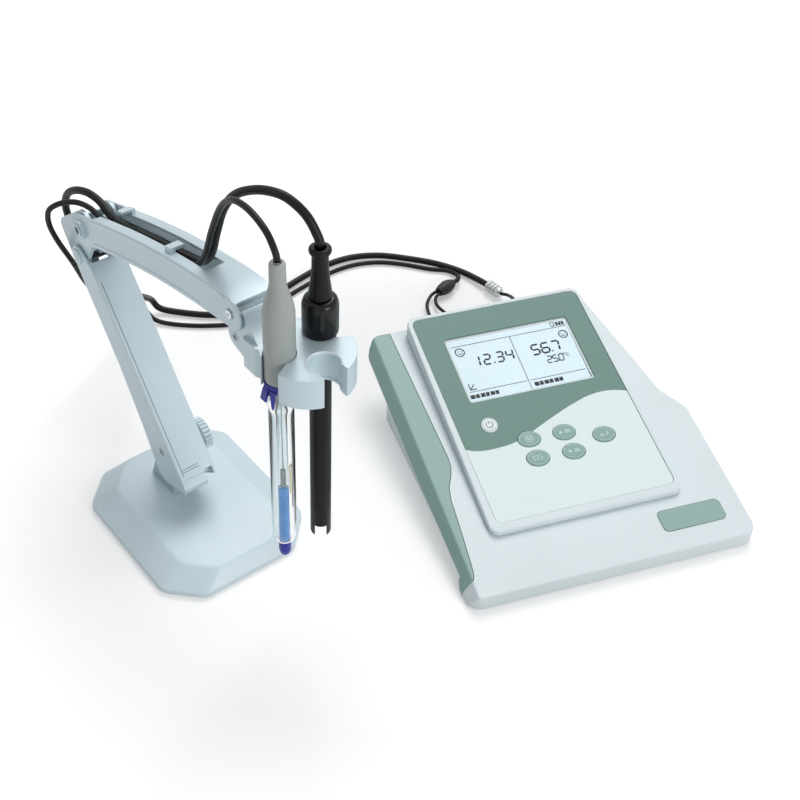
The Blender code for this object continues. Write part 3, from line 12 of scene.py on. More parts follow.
import bmesh
import bpy
from mathutils import Matrix, Vector

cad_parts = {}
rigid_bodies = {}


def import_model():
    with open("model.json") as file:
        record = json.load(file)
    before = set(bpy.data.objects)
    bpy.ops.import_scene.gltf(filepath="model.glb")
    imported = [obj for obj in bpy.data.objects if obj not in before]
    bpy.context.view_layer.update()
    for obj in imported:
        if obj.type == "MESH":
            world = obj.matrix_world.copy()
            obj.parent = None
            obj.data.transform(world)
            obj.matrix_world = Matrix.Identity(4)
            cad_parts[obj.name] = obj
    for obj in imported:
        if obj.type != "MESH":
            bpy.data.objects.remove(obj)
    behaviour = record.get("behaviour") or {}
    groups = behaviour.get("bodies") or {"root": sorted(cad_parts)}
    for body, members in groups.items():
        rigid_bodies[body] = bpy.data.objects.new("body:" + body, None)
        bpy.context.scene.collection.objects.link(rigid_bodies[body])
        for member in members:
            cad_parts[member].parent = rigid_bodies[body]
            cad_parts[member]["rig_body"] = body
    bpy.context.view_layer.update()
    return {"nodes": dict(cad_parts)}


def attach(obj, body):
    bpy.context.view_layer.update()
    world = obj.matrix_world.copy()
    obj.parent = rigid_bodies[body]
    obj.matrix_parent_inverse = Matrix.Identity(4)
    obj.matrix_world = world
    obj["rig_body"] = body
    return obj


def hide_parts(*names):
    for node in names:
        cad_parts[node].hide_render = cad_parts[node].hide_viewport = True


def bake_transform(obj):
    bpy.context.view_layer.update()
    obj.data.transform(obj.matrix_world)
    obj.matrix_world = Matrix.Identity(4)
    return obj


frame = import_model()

scene = bpy.context.scene
scene.view_settings.view_transform = "Standard"

# %% [markdown]
# ## Two drawing boards
#
# The meter is drawn on the bench: x to the right, y to the rear, z up, in millimetres. The stand is
# turned a little on that bench, so its pieces are drawn in (s, u, z): s across the arms, u towards
# the electrodes. One small function for each board turns a drawn point into a place in metres.

# %% Bench and stand
MM = 0.001
BENCH_AT = Vector((7.4, -115.5, 0.0))
STAND_AT = Vector((-141.0, 125.0, 0.0))
STAND_TURN = math.radians(19.4)


def bench(x, y, z):
    return (Vector((x, y, z)) + BENCH_AT) * MM


def stand(s, u, z):
    c, n = math.cos(STAND_TURN), math.sin(STAND_TURN)
    return bench(STAND_AT.x + s * c + u * n, STAND_AT.y + s * n - u * c, z)


print("the stand's middle lies at", tuple(round(v, 4) for v in stand(0, 0, 0)))

# %% [markdown]
# ## The camera
#
# The photograph was taken from the left front, looking down at about forty degrees with a fairly
# long lens. A camera is a matrix whose columns are right, up and backwards, so those three arrows
# are worked out from two angles and a small roll, which is easier to read than Euler numbers.

# %% Camera
def linked(name, data):
    """A new object in the scene."""
    obj = bpy.data.objects.new(name, data)
    scene.collection.objects.link(obj)
    return obj


CAMERA_AT = Vector((-0.23095, -0.59713, 0.66575))
AZIMUTH, ELEVATION, ROLL = (math.radians(a) for a in (17.89, 42.94, 0.8))
LENS_MM, SENSOR_MM, SHIFT_X, NEAREST = 63.0, 36.0, 0.06875, 0.01
look = Vector((math.sin(AZIMUTH) * math.cos(ELEVATION), math.cos(AZIMUTH) * math.cos(ELEVATION),
               -math.sin(ELEVATION)))
level = Vector((math.cos(AZIMUTH), -math.sin(AZIMUTH), 0.0))
upward = level.cross(look)
right = level * math.cos(ROLL) + upward * math.sin(ROLL)
top = upward * math.cos(ROLL) - level * math.sin(ROLL)
camera_data = bpy.data.cameras.new("photo_camera")
camera_data.lens = LENS_MM
camera_data.sensor_width = SENSOR_MM
camera_data.shift_x = SHIFT_X
camera_data.clip_start = NEAREST
camera = linked("photo_camera", camera_data)
camera.matrix_world = Matrix.Translation(CAMERA_AT) @ Matrix((right, top, -look)).transposed().to_4x4()
scene.camera = camera
print("camera looks along", tuple(round(v, 3) for v in look))

# %% [markdown]
# ## Short words for node trees
#
# Every finish here is a small tree of nodes. Written out in full, a tree is mostly typing, so a few
# helpers add a node, wire it, and make the four things that each finish needs: a noise, a range, a
# mix of two colours, and a mask that finds edges, which are paled partly as wear and partly as a
# painted highlight. Colours are given as they look on a screen and turned to linear light once.

# %% Node helpers
def srgb(*values):
    """Screen values from 0 to 255 as linear light."""
    return tuple((v / 255 + 0.055) ** 2.4 / 1.055 ** 2.4 if v > 10 else v / 3294.6 for v in values)


def shade(colour, by):
    """A colour made darker or lighter by a factor."""
    return tuple(min(1.0, c * by) for c in colour)


def add(finish, kind, **settings):
    """A new node in a finish, with these properties."""
    node = finish.node_tree.nodes.new("ShaderNode" + kind)
    for key, value in settings.items():
        setattr(node, key, value)
    return node


def wire(finish, source, target):
    finish.node_tree.links.new(source, target)


def settle(node, **values):
    """Set plain values of a node by the names of its inputs."""
    for label, value in values.items():
        node.inputs[label.replace("_", " ")].default_value = value


def cleared(owner):
    """A material or a world with an empty tree."""
    owner.use_nodes = True
    owner.node_tree.nodes.clear()
    return owner


def new_finish(name):
    """A material that has only a shader and its output."""
    finish = cleared(bpy.data.materials.new(name))
    shader = add(finish, "BsdfPrincipled")
    wire(finish, shader.outputs[0], add(finish, "OutputMaterial").inputs[0])
    return finish, shader


print("a middle grey in linear light:", tuple(round(c, 3) for c in srgb(128, 128, 128)))

# %% [markdown]
# The parts that each finish shares. A noise is read by the place on the object, or along its map. A
# range turns the noise into a roughness or a share. The edge mask compares the normal with a rounded
# one: where the two differ there is an edge. Edges are paled, partly as the polish of handling and
# partly as a painted highlight along them.

# %% Texture helpers
BEVEL_SAMPLES = 4


def noise(finish, scale, detail=2.0, stretch=(1.0, 1.0, 1.0), coords="Object"):
    """A noise over the object or its map; stretch squeezes it along each axis."""
    mapping, texture = add(finish, "Mapping"), add(finish, "TexNoise")
    settle(mapping, Scale=stretch)
    settle(texture, Scale=scale, Detail=detail)
    wire(finish, add(finish, "TexCoord").outputs[coords], mapping.inputs["Vector"])
    wire(finish, mapping.outputs[0], texture.inputs["Vector"])
    return texture.outputs["Fac"]


def ranged(finish, value, low, high, from_low=0.3, from_high=0.7):
    """A value brought from one range to another; a noise lies mostly between 0.3 and 0.7."""
    node = add(finish, "MapRange")
    settle(node, From_Min=from_low, From_Max=from_high, To_Min=low, To_Max=high)
    wire(finish, value, node.inputs["Value"])
    return node.outputs["Result"]


def mixed(finish, share, first, second):
    """A mix node; each of its colours is a tuple or another node's socket."""
    node = add(finish, "Mix", data_type="RGBA")
    wire(finish, share, node.inputs[0])
    for socket, colour in ((node.inputs[6], first), (node.inputs[7], second)):
        if isinstance(colour, tuple):
            socket.default_value = (*colour[:3], 1.0)
        else:
            wire(finish, colour, socket)
    return node.outputs[2]


def rounded_normal(finish, radius):
    """The normal of a surface whose edges are rounded by this many millimetres."""
    node = add(finish, "Bevel", samples=BEVEL_SAMPLES)
    settle(node, Radius=radius * MM)
    return node.outputs[0]


def edge_wear_and_highlight_mask(finish, radius, full=0.2):
    """1 on sharp edges, 0 on flat faces."""
    dot = add(finish, "VectorMath", operation="DOT_PRODUCT")
    wire(finish, rounded_normal(finish, radius), dot.inputs[0])
    wire(finish, add(finish, "NewGeometry").outputs["Normal"], dot.inputs[1])
    return ranged(finish, dot.outputs["Value"], 1.0, 0.0, 1.0 - full, 1.0)


def tinted(finish, shader, share, first, second):
    """Let the colour drift between two tones."""
    wire(finish, mixed(finish, ranged(finish, share, 0.0, 1.0), first, second), shader.inputs["Base Color"])


def roughened(finish, shader, source, low, high):
    """Let the roughness wander between two values."""
    wire(finish, ranged(finish, source, low, high), shader.inputs["Roughness"])


def bump(finish, shader, height, strength, distance=0.3, round_by=0.0):
    """Raise a surface by a noise, up to a distance in millimetres."""
    node = add(finish, "Bump")
    settle(node, Strength=strength, Distance=distance * MM)
    wire(finish, height, node.inputs["Height"])
    if round_by:
        wire(finish, rounded_normal(finish, round_by), node.inputs["Normal"])
    wire(finish, node.outputs[0], shader.inputs["Normal"])


print("edges are rounded with", BEVEL_SAMPLES, "samples")

# %% [markdown]
# ## Floor and light
#
# The set stands on a white sweep. The floor is pale and also glows a little for the rays from the
# camera, a gloss or a glass, so that it reads as white there. It glows less close to the set, which
# keeps the soft shadows. A photographer would light the sweep from below or behind for the same reason.

# %% Floor
SEEN_RAYS = ("Is Camera Ray", "Is Glossy Ray", "Is Transmission Ray")
FLOOR_PALE, FLOOR_HALF, FLOOR_DROP = 0.72, 4.0, 0.0002
FLOOR_GLOW, GLOW_REACH = (0.32, 0.60), (0.2, 0.42)


def seen_share(finish):
    """1 for the rays that show a surface to the eye, 0 for the ones that only carry light."""
    path = add(finish, "LightPath")
    total = path.outputs[SEEN_RAYS[0]]
    for ray in SEEN_RAYS[1:]:
        most = add(finish, "Math", operation="MAXIMUM")
        wire(finish, total, most.inputs[0])
        wire(finish, path.outputs[ray], most.inputs[1])
        total = most.outputs[0]
    return total


sweep = cleared(bpy.data.materials.new("white_sweep"))
matte = add(sweep, "BsdfDiffuse")
settle(matte, Color=(FLOOR_PALE, FLOOR_PALE, FLOOR_PALE, 1.0))
reach = add(sweep, "VectorMath", operation="LENGTH")
wire(sweep, add(sweep, "TexCoord").outputs["Object"], reach.inputs[0])
dim = add(sweep, "Math", operation="MULTIPLY")
wire(sweep, seen_share(sweep), dim.inputs[0])
wire(sweep, ranged(sweep, reach.outputs["Value"], *FLOOR_GLOW, *GLOW_REACH), dim.inputs[1])
glow = add(sweep, "Emission")
wire(sweep, dim.outputs[0], glow.inputs["Strength"])
both = add(sweep, "AddShader")
wire(sweep, matte.outputs[0], both.inputs[0])
wire(sweep, glow.outputs[0], both.inputs[1])
wire(sweep, both.outputs[0], add(sweep, "OutputMaterial").inputs[0])

floor_mesh = bpy.data.meshes.new("floor")
floor_mesh.from_pydata([(x * FLOOR_HALF, y * FLOOR_HALF, -FLOOR_DROP)
                        for x, y in ((-1, -1), (1, -1), (1, 1), (-1, 1))], [], [(0, 1, 2, 3)])
floor_mesh.materials.append(sweep)
floor = linked("floor", floor_mesh)
print("the floor is", 2 * FLOOR_HALF, "m wide")

# %% [markdown]
# The world is the light that comes from everywhere. It is weak, so that the soft boxes shape the set,
# but the rays that show it to the eye see it nearly white. The soft boxes are three area lamps: a large
# one from behind and above, and two small ones that open up the front and the left. They stay at a
# plain level, so a colour renders about as it is written.

# %% World and lamps
SKY_TINT, SKY_LIGHT, SKY_SEEN = (0.95, 0.975, 1.0, 1.0), 0.34, 1.0
SOFT_BOXES = (("key_box", (0.8, 1.5, 2.7), (0.0, 0.05, 0.1), 2.0, 58.0),
              ("front_box", (0.5, -1.2, 0.6), (-0.1, 0.0, 0.12), 0.7, 8.2),
              ("left_box", (-1.3, -0.3, 1.0), (-0.1, 0.05, 0.1), 0.9, 2.0))

world = cleared(bpy.data.worlds.new("studio"))
scene.world = world
sky = add(world, "Background")
settle(sky, Color=SKY_TINT)
wire(world, ranged(world, seen_share(world), SKY_LIGHT, SKY_SEEN, 0.0, 1.0), sky.inputs["Strength"])
wire(world, sky.outputs[0], add(world, "OutputWorld").inputs[0])
for name, at, aim, size, watts in SOFT_BOXES:
    data = bpy.data.lights.new(name, "AREA")
    data.shape = "SQUARE"
    data.size = size
    data.energy = watts
    away = Vector(at) - Vector(aim)
    lamp = linked(name, data)
    lamp.matrix_world = Matrix.Translation(at) @ away.to_track_quat("Z", "Y").to_matrix().to_4x4()
print("lamps:", ", ".join(box[0] for box in SOFT_BOXES))

# %% [markdown]
# ## The leads
#
# Two black leads leave the electrodes, lie in the upper arm's slot, hang round the elbow, drop
# behind the stand and run over the table to the meter. A lead is a fixed length of something
# flexible, so each is drawn once as one smooth curve through its route points. It is cut where it
# passes from one arm to the next, so that each stretch lies between the two bodies that it joins. The
# tubes carry their own map, which runs along the lead, so the grain follows the sheath.

# %% Lead finish
def lead_rubber(name, colour, rough):
    """Rubber with a fine grain along the lead and a few paler scuffs."""
    finish, shader = new_finish(name)
    along = noise(finish, 1.0, 3.0, (9.0, 420.0, 1.0), "UV")
    scuff = noise(finish, 1.0, 4.0, (3.0, 34.0, 1.0), "UV")
    tone = mixed(finish, ranged(finish, scuff, 0.0, 1.0, 0.45, 0.75), colour, shade(colour, 2.2))
    wire(finish, tone, shader.inputs["Base Color"])
    roughened(finish, shader, scuff, rough - 0.08, rough + 0.12)
    settle(shader, Specular_IOR_Level=0.2)
    bump(finish, shader, along, 0.12, 0.15)
    return finish


lead_black = lead_rubber("lead_black_rubber", srgb(14, 14, 15), 0.36)
print("made", lead_black.name)

# %% [markdown]
# A route is a handful of points. A smooth curve runs through all of them, and is then cut into even
# steps, so that the rings of the tube lie as close in a bend as on a straight.

# %% Curve helpers
FINE = 24


def smooth_curve(route):
    """Many points on a smooth curve through the route points."""
    ends = [route[0] * 2 - route[1], *route, route[-1] * 2 - route[-2]]
    fine = []
    for a, b, c, d in zip(ends, ends[1:], ends[2:], ends[3:]):
        for k in range(FINE):
            t = k / FINE
            fine.append(0.5 * (2 * b + (c - a) * t + (2 * a - 5 * b + 4 * c - d) * t * t
                               + (3 * b - a - 3 * c + d) * t ** 3))
    fine.append(route[-1].copy())
    return fine


def spaced(points, spacing):
    """The same line with points a fixed distance apart."""
    run = [0.0]
    for a, b in zip(points, points[1:]):
        run.append(run[-1] + (b - a).length)
    count = max(4, round(run[-1] / (spacing * MM)))
    path, k = [], 0
    for step in range(count + 1):
        want = run[-1] * step / count
        while k < len(run) - 2 and run[k + 1] < want:
            k += 1
        part = (want - run[k]) / max(run[k + 1] - run[k], 1e-12)
        path.append(points[k].lerp(points[k + 1], min(1.0, part)))
    return path


def path_length(path):
    """The length of a path in metres."""
    return sum((b - a).length for a, b in zip(path, path[1:]))


print("a straight 10 mm path measures", round(path_length([stand(0, 0, 0), stand(10, 0, 0)]), 4), "m")

# %% [markdown]
# A sheath is a row of rings along the path. The ring's own direction is carried from step to step, so
# the tube never twists. Every mesh then becomes a piece: it gets its name and finish, rides on a body
# of the frame if one is given, and hides the solids that it stands for.

# %% Sheath and piece helpers
SMOOTH_BELOW = 38.0


def sheath(path, radius, sides=18):
    """A closed tube along a path, with a map that runs round it and along it in metres."""
    bm = bmesh.new()
    uv = bm.loops.layers.uv.new("UVMap")
    side = (path[1] - path[0]).orthogonal().normalized()
    rings, run = [], [0.0]
    for k, point in enumerate(path):
        ahead = (path[min(k + 1, len(path) - 1)] - path[max(k - 1, 0)]).normalized()
        side = (side - ahead * side.dot(ahead)).normalized()
        other = ahead.cross(side)
        ring = []
        for i in range(sides):
            a = math.tau * i / sides
            ring.append(bm.verts.new(point + (side * math.cos(a) + other * math.sin(a)) * radius * MM))
        rings.append(ring)
        run.append(run[-1] + (path[min(k + 1, len(path) - 1)] - point).length)
    for k, (low, high) in enumerate(zip(rings, rings[1:])):
        for i in range(sides):
            j = (i + 1) % sides
            face = bm.faces.new((low[i], low[j], high[j], high[i]))
            for loop, (a, d) in zip(face.loops, ((i, k), (i + 1, k), (i + 1, k + 1), (i, k + 1))):
                loop[uv].uv = (a / sides, run[d])
    bm.faces.new(rings[0][::-1])
    bm.faces.new(rings[-1])
    return to_mesh(bm, "sheath")


def to_mesh(bm, name):
    """A plain mesh whose faces all look outwards."""
    bmesh.ops.recalc_face_normals(bm, faces=bm.faces[:])
    mesh = bpy.data.meshes.new(name)
    bm.to_mesh(mesh)
    bm.free()
    return mesh


def piece(name, mesh, finish, body=None, nodes=(), smooth=SMOOTH_BELOW):
    """Make a finished mesh a named piece that rides on a body and stands for CAD nodes."""
    mesh.name = name
    if finish:
        mesh.materials.clear()
        mesh.materials.append(finish)
    if smooth:
        mesh.shade_smooth()
        mesh.set_sharp_from_angle(angle=math.radians(smooth))
    obj = linked(name, mesh)
    if body:
        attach(obj, body)
    if nodes:
        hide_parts(*nodes)
    return obj


print("a piece is smooth below", SMOOTH_BELOW, "degrees unless it says otherwise")

# %% [markdown]
# The long leads. The route points are the ones that the solids were drawn with, so each sheath lies
# close to its plain tube. The four stretches of a lead are cut from one curve, which keeps its
# direction the same on both sides of a cut.

# %% Routes of the two long leads
PH_LEAD_R, CELL_LEAD_R, THIN_LEAD_R = 1.75, 2.4, 1.25
PH_FRONT = [(-3.5, 105.5, 268.4), (-3.5, 104.4, 272.6), (-3.2, 98.0, 279.2), (-2.8, 88.6, 282.6),
            (-2.5, 77.7, 283.4), (-2.4, 66.4, 280.4), (-2.3, 56.0, 270.6), (-2.3, 46.0, 251.0),
            (-2.3, 37.0, 229.0), (-2.3, 27.0, 217.4), (-2.3, 10.0, 211.4), (-2.3, -20.0, 203.2),
            (-2.3, -50.0, 193.6), (-2.6, -70.0, 187.4)]
CELL_FRONT = [(22.9, 103.3, 264.4), (22.7, 102.4, 268.6), (20.6, 96.0, 278.4), (17.0, 87.5, 284.4),
              (13.7, 79.6, 285.6), (9.5, 68.8, 282.8), (5.6, 57.0, 275.0), (3.2, 49.1, 263.0),
              (2.6, 42.0, 245.0), (2.6, 35.6, 228.0), (2.6, 26.0, 216.8), (2.6, 10.0, 210.8),
              (2.6, -20.0, 202.6), (2.6, -50.0, 193.2), (2.6, -70.0, 187.4)]
PH_LOOP = [PH_FRONT[-1], (-3.2, -79.0, 186.6), (-4.6, -88.0, 188.6), (-8.8, -96.0, 189.8),
           (-15.0, -103.0, 188.0), (-20.0, -109.5, 182.4), (-21.0, -113.0, 175.0),
           (-19.6, -115.0, 165.0), (-15.0, -117.0, 151.0), (-7.0, -118.5, 131.0)]
CELL_LOOP = [CELL_FRONT[-1], (2.6, -79.0, 187.4), (2.2, -89.0, 190.4), (0.2, -99.0, 191.4),
             (-2.2, -109.0, 188.6), (-3.8, -117.5, 182.4), (-4.2, -122.8, 173.0),
             (-3.0, -124.6, 162.0), (-0.8, -123.6, 148.0), (2.0, -120.0, 131.0)]
PH_DROP = [PH_LOOP[-1], (2.0, -124.5, 108.0), (14.0, -134.5, 86.0), (28.0, -148.0, 66.0)]
CELL_DROP = [CELL_LOOP[-1], (11.0, -126.5, 108.0), (23.0, -136.0, 87.0), (37.0, -149.0, 67.0)]
PH_FALL = [PH_DROP[-1], (44.0, -164.0, 46.0), (60.0, -178.0, 27.0), (72.0, -186.0, 12.0)]
CELL_FALL = [CELL_DROP[-1], (53.0, -165.0, 47.0), (69.0, -180.0, 28.0), (81.0, -190.0, 13.0)]
PH_BENCH = [(-128.0, 319.0, 3.4), (-114.0, 311.0, 1.9), (-92.0, 303.0, 1.9), (-70.0, 300.0, 1.9),
            (-46.0, 309.0, 1.9), (-14.0, 326.0, 1.9), (10.0, 337.0, 1.9), (32.0, 342.0, 1.9),
            (52.0, 340.0, 1.9), (70.0, 332.0, 1.9), (88.0, 320.5, 1.9), (100.0, 314.5, 2.2),
            (105.0, 306.0, 3.2), (103.0, 299.0, 4.6), (98.0, 295.5, 5.4)]
CELL_BENCH = [(-122.0, 330.0, 4.4), (-108.0, 323.0, 2.6), (-88.0, 314.0, 2.6), (-67.0, 310.5, 2.6),
              (-44.0, 318.5, 2.6), (-13.0, 336.0, 2.6), (10.0, 346.5, 2.6), (33.0, 351.0, 2.6),
              (55.0, 347.5, 2.6), (76.0, 337.0, 2.6), (95.0, 324.5, 2.6), (109.0, 310.5, 2.8),
              (117.0, 297.0, 3.8), (121.6, 286.4, 5.0)]
LEADS = (("ph_lead", PH_LEAD_R, (PH_FRONT, PH_LOOP, PH_DROP, PH_FALL), PH_BENCH),
         ("cell_lead", CELL_LEAD_R, (CELL_FRONT, CELL_LOOP, CELL_DROP, CELL_FALL), CELL_BENCH))
print("route points:", [sum(len(part) for part in parts) + len(on_bench) for _, _, parts, on_bench in LEADS])

# %% [markdown]
# Each stretch joins two bodies that can move against each other. The table names each stretch, the
# two bodies that it joins and two points near the lead; here each tube is only built in place, with
# its transform baked, and rides on no body.

# %% Build the long leads
RING_STEP = 0.9
SLOT_TURN = (stand(0, 42, 245), stand(0, 98, 276))
LOOP_TURN = (stand(0, -72, 187), stand(-8, -104, 188))
DROP_TURN = (stand(0, -119, 131), stand(18, -139, 80))
TABLE_TURN = (stand(33, -148, 66), bench(-114, 311, 2))
STRETCHES = (("front", "upper_arm", "head", SLOT_TURN), ("loop", "upper_arm", "elbow_bracket", LOOP_TURN),
             ("drop", "elbow_bracket", "lower_arm", DROP_TURN), ("table", "lower_arm", "base", TABLE_TURN))
lead_runs = {}
for stem, radius, parts, on_bench in LEADS:
    route = [stand(*p) for p in parts[0]]
    cuts = [0, len(route) - 1]
    for part in parts[1:]:
        route += [stand(*p) for p in part[1:]]
        cuts.append(len(route) - 1)
    route += [bench(*p) for p in on_bench]
    cuts[-1] = len(route) - 1
    fine = smooth_curve(route)
    for k, (stretch, first, second, turn) in enumerate(STRETCHES):
        path = spaced(fine[cuts[k] * FINE:cuts[k + 1] * FINE + 1], radius * RING_STEP)
        obj = piece(f"{stem}_{stretch}_sheath", sheath(path, radius), lead_black, None,
                    [f"{stem}_{stretch}"], None)
        obj.data.shade_smooth()
        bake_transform(obj)
        lead_runs[f"{stem}_{stretch}"] = (obj, path, radius)
        print(f"{stem} {stretch}: {path_length(path):.3f} m")

# %% [markdown]
# The thin leads. The first long lead ends in a small rubber splitter and goes on as two thin leads,
# one to the electrode socket and one to the temperature socket. The second ends in a metal ferrule
# and goes on as one. All three run low over the table behind the meter and rise into their plugs.

# %% Build the thin leads
THIN_ROUTES = {
    "lead_bnc": [(82.0, 288.9, 5.5), (76.4, 286.0, 4.6), (70.0, 277.0, 4.0), (66.8, 260.0, 6.0),
                 (66.0, 240.0, 11.0), (66.0, 216.0, 16.6), (66.0, 190.0, 17.5)],
    "lead_temp": [(83.6, 285.9, 5.5), (79.0, 282.6, 4.6), (77.4, 274.5, 3.6), (80.4, 260.0, 5.5),
                  (83.6, 240.0, 11.0), (84.0, 214.0, 16.6), (84.0, 186.0, 17.5)],
    "lead_cell": [(127.9, 272.3, 5.2), (130.6, 266.0, 8.0), (130.0, 254.0, 13.0),
                  (125.4, 236.0, 16.6), (122.3, 216.0, 17.5), (122.0, 190.0, 17.5)],
}
THIN_STEP, THIN_SIDES = 1.2, 14
for name, points in THIN_ROUTES.items():
    path = spaced(smooth_curve([bench(*p) for p in points]), THIN_STEP)
    tube = sheath(path, THIN_LEAD_R, THIN_SIDES)
    obj = piece(f"{name}_sheath", tube, lead_black, "base", [name], None)
    obj.data.shade_smooth()
    lead_runs[name] = (obj, path, THIN_LEAD_R)
    print(f"{name}: {path_length(path):.3f} m")

# %% [markdown]
# ## Moulded plastics
#
# Nearly every outside surface is injection-moulded plastic. Such moulds are often spark-eroded, which
# leaves a very fine even grain; the tone drifts a little over a large face; and the edges are paled,
# partly as the polish of handling and partly as a painted highlight. One function makes that finish
# from a colour, a roughness and a grain size, and each plastic of the set is one call.

# %% Plastic finishes
DRIFT_SCALE, EDGE_WIDTH, GRAIN_HIGH = 15.0, 0.6, 0.3


def moulded(name, colour, rough=0.42, grain=1700.0, depth=0.05, drift=0.035, edge=0.22, gloss=0.5,
            metal=0.0, round_by=0.0):
    """A moulded plastic: grain, a drifting tone and paler edges, partly wear and partly a painted highlight.
    """
    finish, shader = new_finish(name)
    fine = noise(finish, grain, 3.0)
    slow = noise(finish, DRIFT_SCALE, 3.0)
    tone = mixed(finish, ranged(finish, slow, 0.0, 1.0), shade(colour, 1 - drift), shade(colour, 1 + drift))
    # the paler edge colour is partly wear and partly a painted highlight
    pale = tuple(c + (1.0 - c) * edge for c in colour)
    wire(finish, mixed(finish, edge_wear_and_highlight_mask(finish, EDGE_WIDTH), tone, pale), shader.inputs["Base Color"])
    roughened(finish, shader, fine, rough - 0.06, rough + 0.06)
    settle(shader, Specular_IOR_Level=gloss, Metallic=metal)
    bump(finish, shader, fine, depth, GRAIN_HIGH, round_by)
    return finish


case_pale = moulded("case_pale_plastic", srgb(208, 218, 221), 0.40)
tub_pale = moulded("tub_pale_plastic", srgb(212, 222, 226), 0.46, 1300.0, 0.08)
sage = moulded("sage_plastic", srgb(131, 162, 156), 0.44)
stand_blue = moulded("stand_satin_blue", srgb(196, 214, 221), 0.34, 2100.0, 0.04, metal=0.1, round_by=0.5)
# a darker copy of the stand's blue: painted shade for the parts inside the arms
stand_painted_shade = moulded("stand_inner_blue", srgb(164, 181, 190), 0.40, metal=0.1, round_by=0.4)
base_paint = moulded("stand_base_paint", srgb(202, 219, 225), 0.36, 900.0, 0.06, round_by=0.8)
soft_rubber = moulded("foot_rubber", srgb(46, 47, 48), 0.72, 700.0, 0.2, 0.12, 0.05, 0.3)
rear_grey = moulded("rear_grey_plastic", srgb(118, 124, 127), 0.5, 1200.0, 0.1)
black_plastic = moulded("black_plastic", srgb(26, 27, 29), 0.30, 1500.0, 0.03, 0.08, 0.05)
print("plastics:", case_pale.name, sage.name, stand_blue.name)

# %% [markdown]
# ## Dressing a solid
#
# A CAD solid arrives as loose triangles with knife-sharp edges. No real moulding has those: a small
# radius on each edge catches a line of light. So each rigid solid is copied, its doubles are merged,
# its flat faces are joined, its edges get a fine bevel, and the normals are weighted by face size,
# which keeps the flats flat. The copy then stands for the solid.

# %% Merge helpers
MERGE_WITHIN, FLAT_ANGLE = 1e-5, math.radians(0.5)


def evaluated(obj):
    """What an object's modifiers make of it, as a plain mesh."""
    graph = bpy.context.evaluated_depsgraph_get()
    mesh = bpy.data.meshes.new_from_object(obj.evaluated_get(graph))
    bpy.data.objects.remove(obj)
    return mesh


def merged_copy(node):
    """The solid's own triangles, merged and with its flat faces joined."""
    raw = frame["nodes"][node].data
    bm = bmesh.new()
    corners = [bm.verts.new(v.co) for v in raw.vertices]
    for face in raw.polygons:
        bm.faces.new([corners[i] for i in face.vertices])
    bmesh.ops.remove_doubles(bm, verts=bm.verts[:], dist=MERGE_WITHIN)
    bmesh.ops.dissolve_limit(bm, angle_limit=FLAT_ANGLE, verts=bm.verts[:], edges=bm.edges[:])
    return to_mesh(bm, node)


def slot_of(node):
    """The slot that a solid's finish is kept in."""
    return frame["nodes"][node].data.materials[0].name.split(".")[0]


print("the case takes its finish from slot", slot_of("top_case"))

# %% [markdown]
# The bevel and the weighted normals are modifiers, and what they make is kept as a plain mesh. A solid
# with many fine curved faces can go without a bevel. Its normals are then kept smooth up to a wider
# angle, so that its rounds don't show their strips.

# %% Dress helpers
BEVEL_ANGLE, SHARP_ANGLE, BARE_SHARP_ANGLE = (math.radians(a) for a in (34.0, 40.0, 58.0))


def rounded_edges(mesh, edge):
    """Bevel the sharp edges by this many millimetres, then weight the normals by face size."""
    obj = linked("edges", mesh)
    if edge:
        bevel = obj.modifiers.new("edge", "BEVEL")
        bevel.width = edge * MM
        bevel.segments = 2
        bevel.limit_method = "ANGLE"
        bevel.angle_limit = BEVEL_ANGLE
        bevel.use_clamp_overlap = False
        bevel.miter_outer = "MITER_ARC"
    mesh = evaluated(obj)
    mesh.shade_smooth()
    mesh.set_sharp_from_angle(angle=SHARP_ANGLE if edge else BARE_SHARP_ANGLE)
    obj = linked("edges", mesh)
    weigh = obj.modifiers.new("weigh", "WEIGHTED_NORMAL")
    weigh.keep_sharp = True
    weigh.weight = 100
    return evaluated(obj)


def dress(node, finish, edge):
    """A finished copy of a solid that rides on the solid's body and stands for it."""
    mesh = rounded_edges(merged_copy(node), edge)
    body = frame["nodes"][node]["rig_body"]
    return piece(f"{node}_finished", mesh, finish, body, [node], None)


def dress_all(*rows):
    """Dress several solids, each given as (node, finish, edge)."""
    for node, finish, edge in rows:
        made = dress(node, finish, edge)
        print(made.name, len(made.data.polygons), "faces")


print("an edge is bevelled from", round(math.degrees(BEVEL_ANGLE)), "degrees on")

# %% [markdown]
# The meter's case is two shells with a sage rail between them, a bare name plate, a frame for the
# panel, a rear wall and four rubber feet. All are mouldings and are only dressed.

# %% Dress the meter's case
FEET = ("foot_1", "foot_2", "foot_3", "foot_4")
dress_all(("top_case", case_pale, 0.3), ("bottom_case", tub_pale, 0.3), ("side_rail", sage, 0.35),
          ("name_plate", sage, 0.15), ("panel_frame", case_pale, 0.3), ("rear_panel", rear_grey, 0.2),
          *((foot, soft_rubber, 0.3) for foot in FEET))

# %% [markdown]
# The stand has a painted base and pressed arms in a satin blue grey. The links and the post sit inside
# the arms, out of the light, and take a darker copy of the blue as painted shade. Thin folded sheet gets
# the finest bevel.

# %% Dress the stand
dress_all(("stand_base", base_paint, 0.5), ("pivot_post", stand_painted_shade, 0.25), ("lower_arm", stand_blue, 0.1),
          ("lower_link", stand_painted_shade, 0.25), ("elbow_bracket", stand_blue, 0.08),
          ("upper_arm", stand_blue, 0.25), ("upper_link", stand_painted_shade, 0.25),
          ("electrode_head", stand_blue, 0.0))

# %% [markdown]
# ## Geometry trees
#
# Some details repeat by a rule: the bars of the display, the ribs of the knob, the curls of the
# spring, the beads. Modelling one and repeating it by hand is slow to change, so each rule is a
# small geometry tree with named inputs. A tree runs on a seed mesh, and its result is kept as a plain
# mesh. The helpers below make a tree, set its inputs by their identifiers, and place the result.

